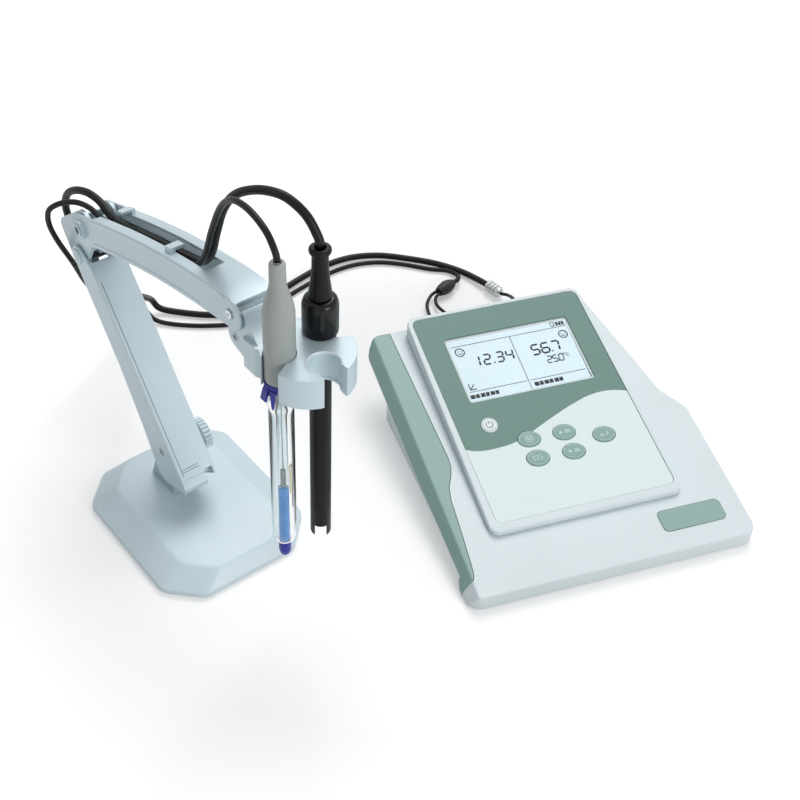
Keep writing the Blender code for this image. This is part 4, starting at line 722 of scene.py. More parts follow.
# %% Geometry tree helpers
def new_tree(name, inputs):
    """An empty tree with a geometry input, these named inputs, and a geometry output."""
    tree = bpy.data.node_groups.new(name, "GeometryNodeTree")
    tree.interface.new_socket("Geometry", in_out="INPUT", socket_type="NodeSocketGeometry")
    for label, kind in inputs:
        tree.interface.new_socket(label, in_out="INPUT", socket_type="NodeSocket" + kind)
    tree.interface.new_socket("Geometry", in_out="OUTPUT", socket_type="NodeSocketGeometry")
    return tree, tree.nodes.new("NodeGroupInput"), tree.nodes.new("NodeGroupOutput")


def grow(tree, kind, **inputs):
    """Add a node; each named input is a plain value or a socket to link from."""
    node = tree.nodes.new(kind)
    for label, value in inputs.items():
        socket = node.inputs[label.replace("_", " ")]
        if isinstance(value, bpy.types.NodeSocket):
            tree.links.new(value, socket)
        else:
            socket.default_value = value
    return node


def close_tree(tree, instances, inner, outer):
    """End a tree: instances become real faces and take the finish that was handed in."""
    real = grow(tree, "GeometryNodeRealizeInstances", Geometry=instances)
    finished = grow(tree, "GeometryNodeSetMaterial", Geometry=real.outputs[0],
                    Material=inner.outputs["Finish"])
    tree.links.new(finished.outputs[0], outer.inputs[0])


def grown(tree, seed, **values):
    """Run a tree on a seed mesh and keep the result as a plain mesh."""
    obj = linked("seed", seed)
    modifier = obj.modifiers.new("grow", "NODES")
    modifier.node_group = tree
    for item in tree.interface.items_tree:
        if item.in_out == "INPUT" and item.name.replace(" ", "_") in values:
            modifier[item.identifier] = values[item.name.replace(" ", "_")]
    return evaluated(obj)


def placed(mesh, place):
    """Move a mesh drawn in millimetres to where it belongs, with its faces turned outwards."""
    bm = bmesh.new()
    bm.from_mesh(mesh)
    for v in bm.verts:
        v.co = place(*v.co)
    return to_mesh(bm, "placed")


def dots(points):
    """A seed mesh of loose points."""
    mesh = bpy.data.meshes.new("dots")
    mesh.from_pydata(points, [], [])
    return mesh


print("a seed of two dots has", len(dots([(0, 0, 0), (1, 0, 0)]).vertices), "points")

# %% [markdown]
# ## The printed panel
#
# The front panel is a thin plastic sheet, printed on its back: sage above, nearly white below, with
# one long wave between them. The wave could be cut as two meshes, but it is ink, so it belongs in the
# material. A float curve gives the height of the wave for each place across the panel, and whatever
# lies above that height takes the sage. A fine grain keeps the sheet from looking like paint.

# %% Panel print
PANEL_FRONT_Y, PANEL_FRONT_Z, PANEL_TAN = 43.0, 23.3, math.tan(math.radians(11.9))
WAVE = ((30.5, 96.6), (38.4, 93.9), (52.0, 93.4), (65.0, 95.1), (77.4, 100.0), (95.0, 107.4), (112.3, 113.9),
        (126.8, 117.7), (137.8, 118.0), (150.3, 114.9))
WAVE_X, WAVE_Y, WAVE_SOFT = (30.0, 152.0), (80.0, 130.0), 0.006
TONES = ((0.965, 0.97, 0.97), (1.0, 1.0, 1.0))


def on_panel(x, y, lift=0.0):
    """A place on the sloping panel, lifted straight up by this many millimetres."""
    return bench(x, y, PANEL_FRONT_Z + (y - PANEL_FRONT_Y) * PANEL_TAN + lift)


def waved_print(name, above, below, rough):
    """A printed sheet with one ink above the wave and another below it."""
    finish, shader = new_finish(name)
    parts = add(finish, "SeparateXYZ")
    wire(finish, add(finish, "TexCoord").outputs["Object"], parts.inputs[0])
    ends_x = [(x + BENCH_AT.x) * MM for x in WAVE_X]
    ends_y = [(y + BENCH_AT.y) * MM for y in WAVE_Y]
    curve = add(finish, "FloatCurve")
    wire(finish, ranged(finish, parts.outputs["X"], 0.0, 1.0, *ends_x), curve.inputs["Value"])
    wave = curve.mapping.curves[0]
    knots = [((x - WAVE_X[0]) / (WAVE_X[1] - WAVE_X[0]), (y - WAVE_Y[0]) / (WAVE_Y[1] - WAVE_Y[0]))
             for x, y in WAVE]
    wave.points[0].location, wave.points[1].location = knots[0], knots[-1]
    for knot in knots[1:-1]:
        wave.points.new(*knot)
    curve.mapping.update()
    over = add(finish, "Math", operation="SUBTRACT")
    wire(finish, ranged(finish, parts.outputs["Y"], 0.0, 1.0, *ends_y), over.inputs[0])
    wire(finish, curve.outputs[0], over.inputs[1])
    ink = mixed(finish, ranged(finish, over.outputs[0], 0.0, 1.0, -WAVE_SOFT, WAVE_SOFT), below, above)
    slow = noise(finish, 12.0, 2.0)
    fine = noise(finish, 2600.0, 2.0)
    toned = add(finish, "Mix", data_type="RGBA", blend_type="MULTIPLY")
    toned.inputs[0].default_value = 1.0
    wire(finish, ink, toned.inputs[6])
    wire(finish, mixed(finish, ranged(finish, slow, 0.0, 1.0), *TONES), toned.inputs[7])
    wire(finish, toned.outputs[2], shader.inputs["Base Color"])
    roughened(finish, shader, fine, rough - 0.05, rough + 0.07)
    settle(shader, Specular_IOR_Level=0.35)
    bump(finish, shader, fine, 0.03)
    return finish


panel_ink = waved_print("panel_print_sheet", srgb(93, 129, 120), srgb(219, 232, 232), 0.40)
made = dress("panel_overlay", panel_ink, 0.12)
print(made.name, "carries", panel_ink.name)

# %% [markdown]
# ## The display
#
# Behind the panel's clear window lies a liquid crystal display. It is a pale, slightly blue glass
# with dark bars on it. Every mark on it is a short straight bar: a line, one seventh of a figure, or
# a piece of a ring. So the marks are a list of bars, each with a place, a length, a width and a turn,
# and one tree puts a thin block on each of them. The figures are drawn in seven segments and lean a
# little, as such figures do.

# %% A tree that lays bars
BAR_SIZES = ("long", "wide", "turn")
bar_tree, inner, outer = new_tree("lay_bars", (("Thickness", "Float"), ("Finish", "Material")))
sizes = {}
for label in BAR_SIZES:
    sizes[label] = grow(bar_tree, "GeometryNodeInputNamedAttribute", Name=label).outputs[0]
scale = grow(bar_tree, "ShaderNodeCombineXYZ", X=sizes["long"], Y=sizes["wide"], Z=inner.outputs["Thickness"])
turned_by = grow(bar_tree, "ShaderNodeCombineXYZ", Z=sizes["turn"])
as_turn = grow(bar_tree, "FunctionNodeEulerToRotation", Euler=turned_by.outputs[0])
block = grow(bar_tree, "GeometryNodeMeshCube", Size=(1.0, 1.0, 1.0))
laid = grow(bar_tree, "GeometryNodeInstanceOnPoints", Points=inner.outputs["Geometry"],
            Instance=block.outputs[0], Rotation=as_turn.outputs[0], Scale=scale.outputs[0])
close_tree(bar_tree, laid.outputs[0], inner, outer)


def laid_bars(bars, thickness, finish, place):
    """Bars (x, y, long, wide, turn) in millimetres on a flat board, placed by a function."""
    seed = dots([(x, y, 0.0) for x, y, *_ in bars])
    for k, label in enumerate(BAR_SIZES):
        data = seed.attributes.new(label, "FLOAT", "POINT").data
        for row, item in zip(bars, data):
            item.value = row[2 + k]
    return placed(grown(bar_tree, seed, Thickness=thickness, Finish=finish), place)


def bar(ax, ay, bx, by, wide):
    """One bar from a to b."""
    return ((ax + bx) / 2, (ay + by) / 2, math.hypot(bx - ax, by - ay), wide, math.atan2(by - ay, bx - ax))


def ring_bars(x, y, radius, wide, start=0.0, sweep=360.0, count=20):
    """A ring, or part of one, as short bars."""
    at = [math.radians(start + sweep * k / count) for k in range(count + 1)]
    return [bar(x + radius * math.cos(a), y + radius * math.sin(a), x + radius * math.cos(b),
                y + radius * math.sin(b), wide) for a, b in zip(at, at[1:])]


print("a ring takes", len(ring_bars(0, 0, 1, 0.1)), "bars")

# %% [markdown]
# A figure has up to seven bars, named a to g. Each figure lists the bars that are dark, and each bar
# lists its two ends on a grid of two by three. Places on the display are shares of its width and
# height, which are easy to judge and don't change with the size of the display.

# %% Figures of the display
SEGMENTS = {"a": (0, 2, 1, 2), "b": (1, 2, 1, 1), "c": (1, 1, 1, 0), "d": (0, 0, 1, 0), "e": (0, 1, 0, 0),
            "f": (0, 2, 0, 1), "g": (0, 1, 1, 1)}
FIGURES = {"0": "abcdef", "1": "bc", "2": "abged", "3": "abgcd", "4": "fgbc", "5": "afgcd", "6": "afgedc",
           "7": "abc"}
LEAN, SHORTER = 0.13, 0.32
SCREEN_X, SCREEN_Y = (45.6, 134.4), (130.2, 182.6)


def on_screen(fx, fy):
    """Shares of the display's width and height as bench millimetres."""
    return (SCREEN_X[0] + fx * (SCREEN_X[1] - SCREEN_X[0]), SCREEN_Y[0] + fy * (SCREEN_Y[1] - SCREEN_Y[0]))


def figure(sign, fx, low, high, width, wide):
    """A seven-segment figure whose middle lies at fx, between two shares of the height."""
    (x, foot), (_, head) = on_screen(fx, low), on_screen(fx, high)
    bars = []
    for name in FIGURES[sign]:
        ax, ay, bx, by = SEGMENTS[name]
        a = Vector((x + (ax - 0.5) * width, foot + ay * (head - foot) / 2))
        b = Vector((x + (bx - 0.5) * width, foot + by * (head - foot) / 2))
        short = (b - a).normalized() * wide * SHORTER
        a, b = a + short, b - short
        bars.append(bar(a.x + (a.y - foot) * LEAN, a.y, b.x + (b.y - foot) * LEAN, b.y, wide))
    return bars


def line(fx, fy, gx, gy, wide):
    """A bar between two places on the display."""
    return bar(*on_screen(fx, fy), *on_screen(gx, gy), wide)


def face(fx, fy, radius):
    """A round face: a ring, two eyes and a smile."""
    x, y = on_screen(fx, fy)
    eyes = [bar(x + d - 0.3, y + 0.8, x + d + 0.3, y + 0.8, 0.6) for d in (-1.1, 1.1)]
    return ring_bars(x, y, radius, 0.75) + ring_bars(x, y + 0.2, 1.6, 0.5, 205.0, 130.0, 8) + eyes


print("the figure 4 takes", len(figure("4", 0.2, 0.4, 0.6, 4.0, 1.0)), "bars")

# %% [markdown]
# The layout. Two fields stand side by side between fine rules: a figure of four signs on the left, and
# one of three with its temperature on the right. Faces, an angle, a cell and dark tiles fill the rest.

# %% Layout of the display
FIGURE_ROWS = (("1234", (0.171, 0.26, 0.364, 0.443), (0.53, 0.679), 4.6, 1.2),
               ("567", (0.6535, 0.734, 0.817), (0.527, 0.677), 5.2, 1.3),
               ("250", (0.728, 0.774, 0.824), (0.365, 0.465), 3.1, 0.8))
RULES = ((0.03, 0.88, 0.975, 0.88, 0.35), (0.507, 0.88, 0.50, 0.03, 0.4), (0.03, 0.17, 0.49, 0.17, 0.35),
         (0.515, 0.168, 0.97, 0.168, 0.35))
POINTS = ((0.308, 0.537, 0.319, 0.537, 1.1), (0.781, 0.535, 0.792, 0.535, 1.15),
          (0.798, 0.37, 0.805, 0.37, 0.7))
ANGLE_MARK = ((0.045, 0.2, 0.045, 0.295, 0.7), (0.045, 0.203, 0.095, 0.203, 0.7),
              (0.052, 0.216, 0.086, 0.278, 0.6))
POWER_CELL = ((0.862, 0.905, 0.862, 0.97, 0.5), (0.888, 0.905, 0.888, 0.97, 0.5),
              (0.862, 0.97, 0.888, 0.97, 0.5), (0.862, 0.905, 0.888, 0.905, 0.5))
CHARGE_X, CHARGE_Y, CHARGE_STEP, CHARGE_WIDE = 0.903, 0.93, 0.024, 0.019
TILES = ((0.022, 0.094), (0.104, 0.172), (0.181, 0.247), (0.534, 0.606), (0.614, 0.684), (0.695, 0.764))
TILE_Y, TILE_HIGH, TILE_SPLIT, TILE_GAP = 0.096, 3.0, 0.55, 0.0025
DEGREE_AT, UNIT_AT = (0.861, 0.463), (0.887, 0.438)
marks = [line(*ends) for ends in RULES + POINTS + ANGLE_MARK + POWER_CELL]
for signs, places, (low, high), width, wide in FIGURE_ROWS:
    for sign, fx in zip(signs, places):
        marks += figure(sign, fx, low, high, width, wide)
marks += ring_bars(*on_screen(*DEGREE_AT), 0.5, 0.28, count=10)
marks += ring_bars(*on_screen(*UNIT_AT), 1.15, 0.4, 50.0, 260.0, 12)
marks += face(0.083, 0.785, 3.1) + face(0.925, 0.756, 3.0)
for a, b in TILES:
    middle = a + (b - a) * TILE_SPLIT
    for left, end in ((a, middle - TILE_GAP), (middle + TILE_GAP, b)):
        marks.append(line(left, TILE_Y, end, TILE_Y, TILE_HIGH))
for k in range(3):
    left = CHARGE_X + CHARGE_STEP * k
    marks.append(line(left, CHARGE_Y, left + CHARGE_WIDE, CHARGE_Y, TILE_HIGH))
print(len(marks), "bars on the display")

# %% [markdown]
# The glass of the display is pale and a little blue, with a thin coat of gloss, and the window before
# it is clear. The window could be real glass, but so thin a sheet bends nothing that shows, so a nearly
# see-through surface gives the same look with less noise.

# %% Display finishes
def lcd_glass(name, colour, rough):
    """Pale glass with a thin coat of gloss."""
    finish, shader = new_finish(name)
    fine = noise(finish, 3000.0, 1.0)
    tinted(finish, shader, noise(finish, 22.0, 2.0), shade(colour, 0.97), shade(colour, 1.02))
    roughened(finish, shader, fine, rough - 0.04, rough + 0.06)
    settle(shader, Coat_Weight=0.35, Coat_Roughness=0.12)
    bump(finish, shader, fine, 0.01)
    return finish


def clear_window(name):
    """A sheet that is nearly see-through."""
    finish, shader = new_finish(name)
    settle(shader, Base_Color=(*srgb(225, 240, 245), 1.0), Alpha=0.03)
    roughened(finish, shader, noise(finish, 60.0, 4.0), 0.03, 0.12)
    return finish


lcd_pale = lcd_glass("display_pale_glass", srgb(198, 222, 233), 0.3)
lcd_ink = moulded("display_dark_bars", srgb(9, 11, 13), 0.5, 1500.0, 0.02, edge=0.0, gloss=0.1)
print("display finishes:", lcd_pale.name, lcd_ink.name)

# %% [markdown]
# Plates, keys and flaps are all skins over rows of points: each row is a closed line, all rows have the
# same count, and the two end rows are filled. Corners are rounded on the outline, before it is skinned,
# which needs no bevel and gives even strips.

# %% Skin helpers
def softened(outline, radius, steps=5, closed=True):
    """An outline whose corners are rounded by up to this radius."""
    points = [Vector(p) for p in outline]
    count = len(points)
    soft = []
    for k, corner in enumerate(points):
        if not closed and k in (0, count - 1):
            soft.append(tuple(corner))
            continue
        before, after = points[k - 1] - corner, points[(k + 1) % count] - corner
        reach = min(radius, 0.45 * before.length, 0.45 * after.length)
        a, b = corner + before.normalized() * reach, corner + after.normalized() * reach
        for i in range(steps + 1):
            t = i / steps
            soft.append(tuple(a * (1 - t) ** 2 + corner * 2 * t * (1 - t) + b * t * t))
    return soft


def skinned(rows):
    """A closed mesh through rows of points, filled at both ends."""
    bm = bmesh.new()
    rings = [[bm.verts.new(point) for point in row] for row in rows]
    bm.faces.new(rings[0])
    bm.faces.new(rings[-1])
    for low, high in zip(rings, rings[1:]):
        for k in range(len(low)):
            j = (k + 1) % len(low)
            bm.faces.new((low[k], low[j], high[j], high[k]))
    return to_mesh(bm, "skinned")


def plate(outline, place, low, high, soft=0.0):
    """A flat plate with this (x, y) outline between two lifts."""
    if soft:
        outline = softened(outline, soft)
    return skinned([[place(x, y, lift) for x, y in outline] for lift in (low, high)])


print("a softened square has", len(softened(((0, 0), (1, 0), (1, 1), (0, 1)), 0.1)), "points")

# %% [markdown]
# The display is stacked as such displays are: board, module, glass plate, dark bars on it, and the
# window last.

# %% Build the display
GLASS_LOW, GLASS_HIGH, GLASS_IN, GLASS_CORNER = -3.48, -1.3, 0.6, 0.8
MARKS_LIFT, MARKS_THICK = -1.26, 0.12
glass_x = (SCREEN_X[0] + GLASS_IN, SCREEN_X[1] - GLASS_IN)
glass_y = (SCREEN_Y[0] + GLASS_IN, SCREEN_Y[1] - GLASS_IN)
screen_edge = [(glass_x[i], glass_y[j]) for i, j in ((0, 0), (1, 0), (1, 1), (0, 1))]
dress("lcd_module", lcd_pale, 0.15)
glass = plate(screen_edge, on_panel, GLASS_LOW, GLASS_HIGH, GLASS_CORNER)
piece("display_glass", glass, lcd_pale, "base", ())
dress("lcd_window", clear_window("display_clear_window"), 0.15)
dark_bars = laid_bars(marks, MARKS_THICK, lcd_ink, lambda x, y, h: on_panel(x, y, h + MARKS_LIFT))
piece("display_marks", dark_bars, lcd_ink, "base", (), None)
dress("main_board", moulded("board_green_lacquer", srgb(34, 84, 62), 0.35, 900.0, 0.06), 0.1)
print("display and its window are in place")

# %% [markdown]
# ## Keys
#
# Six rubber-domed keys stand a little out of the panel. Each is a stack of ovals: straight sides, a
# small shoulder, and a nearly flat crown that its sign can lie on. The signs are plain ones: a power
# ring, up, down, return, hold and a row of dots. They are bars again, one set for each key, so that
# every sign travels with its own key.

# %% Key finishes and shapes
key_green = moulded("key_sage_rubber", srgb(124, 157, 150), 0.46, 1500.0, 0.06, 0.03, 0.42)
key_pale = moulded("key_pale_rubber", srgb(222, 231, 232), 0.44, 1500.0, 0.05, 0.03, 0.2)
sign_pale = moulded("key_sign_pale_ink", srgb(196, 214, 209), 0.5, 1200.0, 0.02)
sign_grey = moulded("key_sign_grey_ink", srgb(92, 106, 108), 0.5, 1200.0, 0.02)
OVAL_KEY, ROUND_KEY = (7.8, 5.9), (5.6, 5.6)
KEYS = {"key_power": (51.4, 111.0, *ROUND_KEY), "key_hold": (72.7, 94.8, *OVAL_KEY),
        "key_up": (97.0, 94.3, *OVAL_KEY), "key_enter": (122.0, 86.6, *OVAL_KEY),
        "key_mode": (73.0, 80.0, *OVAL_KEY), "key_down": (97.7, 79.3, *OVAL_KEY)}
CROWN = ((0.9, -4.9), (0.9, -3.5), (0.0, -3.5), (0.0, 0.12), (-0.08, 0.3), (-0.3, 0.46), (-0.75, 0.55),
         (-1.6, 0.585), (-3.2, 0.6))
KEY_SIDES, SIGN_THICK = 56, 0.05


def oval(x, y, rx, ry, count):
    """Points round an oval."""
    turns = [math.tau * k / count for k in range(count)]
    return [(x + rx * math.cos(a), y + ry * math.sin(a)) for a in turns]


def key_cap(x, y, rx, ry):
    """A closed stack of ovals: (growth, lift) for each level, flat at both ends."""
    return skinned([[on_panel(px, py, lift) for px, py in oval(x, y, rx + grow_by, ry + grow_by, KEY_SIDES)]
                    for grow_by, lift in CROWN])


print("keys have", len(CROWN), "levels")

# %% [markdown]
# A sign is drawn about the middle of its key, a few bars each. A thin oval line near the rim, also of
# bars, frames it. All of a key's bars are one piece on the key's own body, and lie on the flat crown.

# %% Build the keys and their signs
def wedge_bars(x, y, width, height, rows=7):
    """A filled triangle as stacked bars, point up for a positive height."""
    bars = []
    for k in range(rows):
        half, level_y = width / 2 * (1 - k / rows), y + height * (k + 0.5) / rows
        bars.append(bar(x - half, level_y, x + half, level_y, abs(height) / rows * 1.15))
    return bars


def key_signs(name, x, y):
    """The bars of a key's sign, drawn about the middle of the key."""
    if name == "key_power":
        return ring_bars(x, y, 2.3, 0.65, 125.0, 290.0, 24) + [bar(x, y + 0.5, x, y + 2.9, 0.65)]
    if name in ("key_up", "key_down"):
        up = 1.0 if name == "key_up" else -1.0
        return (wedge_bars(x - 2.6, y - 0.9 * up, 2.6, 1.9 * up)
                + [bar(x + 0.3, y + d, x + 4.0, y + d, 0.42) for d in (-0.9, 0.0, 0.9)])
    if name == "key_enter":
        return [bar(x + 2.6, y + 1.5, x + 2.6, y - 0.7, 0.5), bar(x + 2.8, y - 0.7, x - 2.6, y - 0.7, 0.5),
                bar(x - 2.7, y - 0.7, x - 1.5, y + 0.4, 0.5), bar(x - 2.7, y - 0.7, x - 1.5, y - 1.8, 0.5)]
    if name == "key_hold":
        return [bar(x + d, y - 1.4, x + d, y + 1.4, 0.7) for d in (-0.9, 0.9)] + ring_bars(x, y, 2.7, 0.34)
    return [bar(x + d - 0.45, y, x + d + 0.45, y, 0.9) for d in (-2.8, 0.0, 2.8)] + [
        bar(x - 3.4, y + d, x + 3.4, y + d, 0.3) for d in (-1.5, 1.5)]


def frame_bars(x, y, rx, ry, wide=0.2, count=44):
    """An oval line as short bars."""
    points = oval(x, y, rx, ry, count)
    return [bar(*a, *b, wide) for a, b in zip(points, points[1:] + points[:1])]


for name, (x, y, rx, ry) in KEYS.items():
    rubber, ink = (key_pale, sign_grey) if name == "key_power" else (key_green, sign_pale)
    piece(f"{name}_cap", key_cap(x, y, rx, ry), rubber, name, [name])
    bars = key_signs(name, x, y) + frame_bars(x, y, rx - 1.0, ry - 1.0)
    signs = laid_bars(bars, SIGN_THICK, ink, lambda px, py, h: on_panel(px, py, h + CROWN[-1][1]))
    piece(f"{name}_sign", signs, ink, name, (), None)
print("keys:", ", ".join(KEYS))

# %% [markdown]
# ## Turned pieces
#
# Caps, collars, tubes and knobs are round. Each is drawn as half an outline, a list of radius and
# height, and spun about its own axis, with its corners softened first so that they catch light. The
# electrodes stand upright in the head's bays, and the knob and the spring lie across the arms, so two
# small functions say where the axis of a turned piece lies.

# %% Lathe
PH_AXIS, CELL_AXIS = (-3.5, 105.5), (22.9, 103.3)


def lathe(profile, place, sides=64, soft=0.4, closed=True):
    """Spin an outline of (radius, height); one that starts and ends on the axis is a solid."""
    profile = softened(profile, soft, 3, closed)
    bm = bmesh.new()
    rings = []
    for r, h in profile:
        if r < 1e-6:
            rings.append([bm.verts.new(place(0.0, 0.0, h))])
        else:
            rings.append([bm.verts.new(place(r * math.cos(a), r * math.sin(a), h))
                          for a in (math.tau * k / sides for k in range(sides))])
    pairs = list(zip(rings, rings[1:])) + ([(rings[-1], rings[0])] if closed else [])
    for low, high in pairs:
        for k in range(sides):
            j = (k + 1) % sides
            corners = [low[k % len(low)], low[j % len(low)], high[j % len(high)], high[k % len(high)]]
            corners = list(dict.fromkeys(corners))
            if len(corners) > 2:
                bm.faces.new(corners)
    return to_mesh(bm, "turned")


def upright(s, u):
    """An axis that stands upright on the stand's board."""
    return lambda x, y, h: stand(s + x, u - y, h)


def crosswise(u, z):
    """An axis that lies across the arms."""
    return lambda x, y, h: stand(h, u + x, z + y)


def turned(name, outline, place, finish, nodes=(), sides=64, soft=0.4, closed=False,
           smooth=SMOOTH_BELOW):
    """A turned piece of an electrode, which rides on the head."""
    return piece(name, lathe(outline, place, sides, soft, closed), finish, "head", nodes, smooth)


PH_AT, CELL_AT = upright(*PH_AXIS), upright(*CELL_AXIS)
print("the pH electrode stands at", tuple(round(v, 4) for v in PH_AT(0, 0, 0)))

# %% [markdown]
# ## The pH electrode
#
# A grey moulded cap carries a glass body. Under the cap a royal blue ring with a flap closes the
# refill hole. The body is an outer glass tube round an inner one, and below the inner one shows a blue
# gel that reaches down to the blue bulb guard. Glass is a closed wall with full transmission, so light
# bends at both of its faces, and the gel is its own solid.

# %% Electrode finishes
GLASS_BENDS = 1.45


def clear_glass(name, tint, rough=0.02):
    """Drawn glass: clear, with faint streaks along its length."""
    finish, shader = new_finish(name)
    settle(shader, Base_Color=(*tint, 1.0), Transmission_Weight=1.0, IOR=GLASS_BENDS)
    streak = noise(finish, 40.0, 3.0, (1.0, 1.0, 0.08))
    roughened(finish, shader, streak, rough, rough + 0.05)
    bump(finish, shader, streak, 0.05)
    return finish


tube_glass = clear_glass("electrode_clear_glass", (0.97, 0.985, 0.985))
stem_glass = clear_glass("electrode_inner_glass", (0.86, 0.92, 0.94), 0.04)
cap_grey = moulded("electrode_cap_grey", srgb(160, 166, 164), 0.40, 1800.0, 0.03, 0.03, 0.18, 0.35)
royal = moulded("electrode_royal_blue", srgb(36, 44, 146), 0.34, 1500.0, 0.03, 0.06, 0.1, 0.35)
gel_blue = moulded("electrode_blue_gel", srgb(48, 128, 196), 0.3, 500.0, 0.02, 0.1, 0.0, 0.3)
print("electrode finishes:", tube_glass.name, cap_grey.name, royal.name)

# %% [markdown]
# The cap is one long turned piece with a collar for the lead at its top. The blue ring below it has a
# flap that hangs over the glass and a tab to pull on. The flap follows the round of the electrode, so
# its outline is drawn flat, as a length round the ring and a height, and then bent.

# %% Cap, ring, flap and tab
PH_CAP = [(0.0, 266.6), (2.05, 266.6), (2.05, 268.0), (3.4, 268.0), (4.1, 267.2), (4.3, 255.0), (5.2, 251.0),
          (7.4, 243.5), (8.0, 239.6), (8.0, 239.0), (8.2, 238.8), (8.2, 196.2), (7.9, 195.6), (0.0, 195.6)]
REFILL_RING = [(6.0, 195.4), (8.3, 195.4), (8.5, 195.0), (8.5, 192.2), (8.2, 191.7), (6.0, 191.7)]
FLAP = ((-1.7, 192.6), (2.1, 192.6), (2.0, 189.0), (0.8, 181.0), (0.1, 180.2), (-0.5, 181.6), (-1.1, 188.0))
FLAP_IN, FLAP_OUT, FLAP_AT = 8.35, 9.1, 207.0
TAB = ((-8.2, 195.2), (-9.8, 192.4), (-11.4, 186.4), (-9.9, 185.0), (-8.5, 189.4), (-8.2, 192.0))
TAB_HALF = 1.8


def wrapped(outline, inner_r, outer_r, middle, place):
    """A plate bent round the electrode: outline points are (round, height) in millimetres."""
    rows = []
    for r in (inner_r, outer_r):
        turns = [(math.radians(middle) + arc / outer_r, h) for arc, h in outline]
        rows.append([place(r * math.cos(a), r * math.sin(a), h) for a, h in turns])
    return skinned(rows)


turned("ph_cap_turned", PH_CAP, PH_AT, cap_grey, ["ph_cap"], 72, 0.5, smooth=50.0)
turned("refill_ring_turned", REFILL_RING, PH_AT, royal, ["refill_ring"], 64, 0.3, True)
flap = wrapped(softened(FLAP, 0.8, 3), FLAP_IN, FLAP_OUT, FLAP_AT, PH_AT)
piece("refill_flap", flap, royal, "head", ())
tab = plate(TAB, lambda x, z, y: PH_AT(x, y, z), -TAB_HALF, TAB_HALF, 0.6)
piece("refill_tab", tab, royal, "head", ())
print("cap, refill ring, flap and tab are in place")

# %% [markdown]
# The glass wall is a closed outline with an outer and an inner line, so that it has a real thickness. It
# bulges under the ring and draws in at the foot. The inner tube stops where the gel begins, and the
# guard covers the bulb at the end.

# %% Glass, gel and bulb guard
GLASS_WALL = [(5.7, 191.4), (7.0, 191.4), (7.9, 188.6), (8.2, 184.6), (7.9, 180.6), (6.9, 176.6),
              (6.8, 172.0), (6.8, 84.0), (6.4, 79.0), (5.2, 75.4), (3.8, 74.0), (3.8, 75.0), (4.6, 76.4),
              (5.6, 79.6), (5.7, 85.0)]
STEM_TUBE = [(2.6, 191.0), (3.1, 191.0), (3.1, 118.6), (2.6, 118.6)]
STEM_GEL = [(0.0, 118.2), (2.0, 117.8), (3.0, 117.0), (3.0, 74.8), (0.0, 74.8)]
BULB_GUARD = [(0.0, 74.4), (3.1, 74.4), (3.5, 73.6), (3.5, 66.2), (2.9, 63.6), (1.5, 61.6), (0.0, 60.8)]
turned("ph_body_glass", GLASS_WALL, PH_AT, tube_glass, ["ph_body"], 72, 1.6, True, 60.0)
turned("ph_stem_tube", STEM_TUBE, PH_AT, stem_glass, ["ph_stem"], 40, 0.1, True)
turned("ph_stem_gel", STEM_GEL, PH_AT, gel_blue, ["ph_stem"], 40)
turned("ph_bulb_guard", BULB_GUARD, PH_AT, royal, ["ph_tip"], 48, 0.9, smooth=60.0)
print("glass body, gel and bulb guard are in place")

# %% [markdown]
# Through the glass shows what makes the electrode work: a silver wire down to a grey element, and, off
# to the side that faces right, a column of salt with a dark junction strip. Each is a plain rod, so one
# table lists how far off the axis it stands, its radius and its two ends.

# %% Wire, element and junction inside the glass
wire_silver = moulded("electrode_silver_wire", srgb(176, 180, 178), 0.3, 900.0, 0.04, metal=0.8)
junction_cream = moulded("electrode_cream_salt", srgb(226, 217, 182), 0.7, 420.0, 0.5, 0.12, 0.0)
element_grey = moulded("electrode_grey_element", srgb(140, 150, 142), 0.6, 700.0, 0.2, 0.1, 0.0)
strip_dark = moulded("electrode_dark_junction", srgb(52, 54, 56), 0.5, 900.0, 0.1, 0.1, 0.0)
TO_RIGHT = math.radians(322.7)
INSIDE_GLASS = {"ph_wire": (0.0, 0.4, 190.0, 130.0, wire_silver),
                "ph_element": (0.0, 1.4, 130.0, 118.2, element_grey),
                "ph_salt_column": (4.2, 0.75, 133.0, 112.0, junction_cream),
                "ph_junction": (5.1, 0.45, 134.0, 101.0, strip_dark)}
for name, (out_by, r, high, low, finish) in INSIDE_GLASS.items():
    at = upright(PH_AXIS[0] + out_by * math.cos(TO_RIGHT), PH_AXIS[1] - out_by * math.sin(TO_RIGHT))
    turned(name, [(0.0, high), (r, high), (r, low), (0.0, low)], at, finish, (), 24, 0.2)
print("inside the glass:", ", ".join(INSIDE_GLASS))

# %% [markdown]
# ## The conductivity cell
#
# The second electrode is all black: a rubber boot with a flange, a glossy collar that rests on the
# head, and a plain tube that ends in a fork. The tube is turned like the rest and the fork is cut
# with a block, which is how the real one is milled.

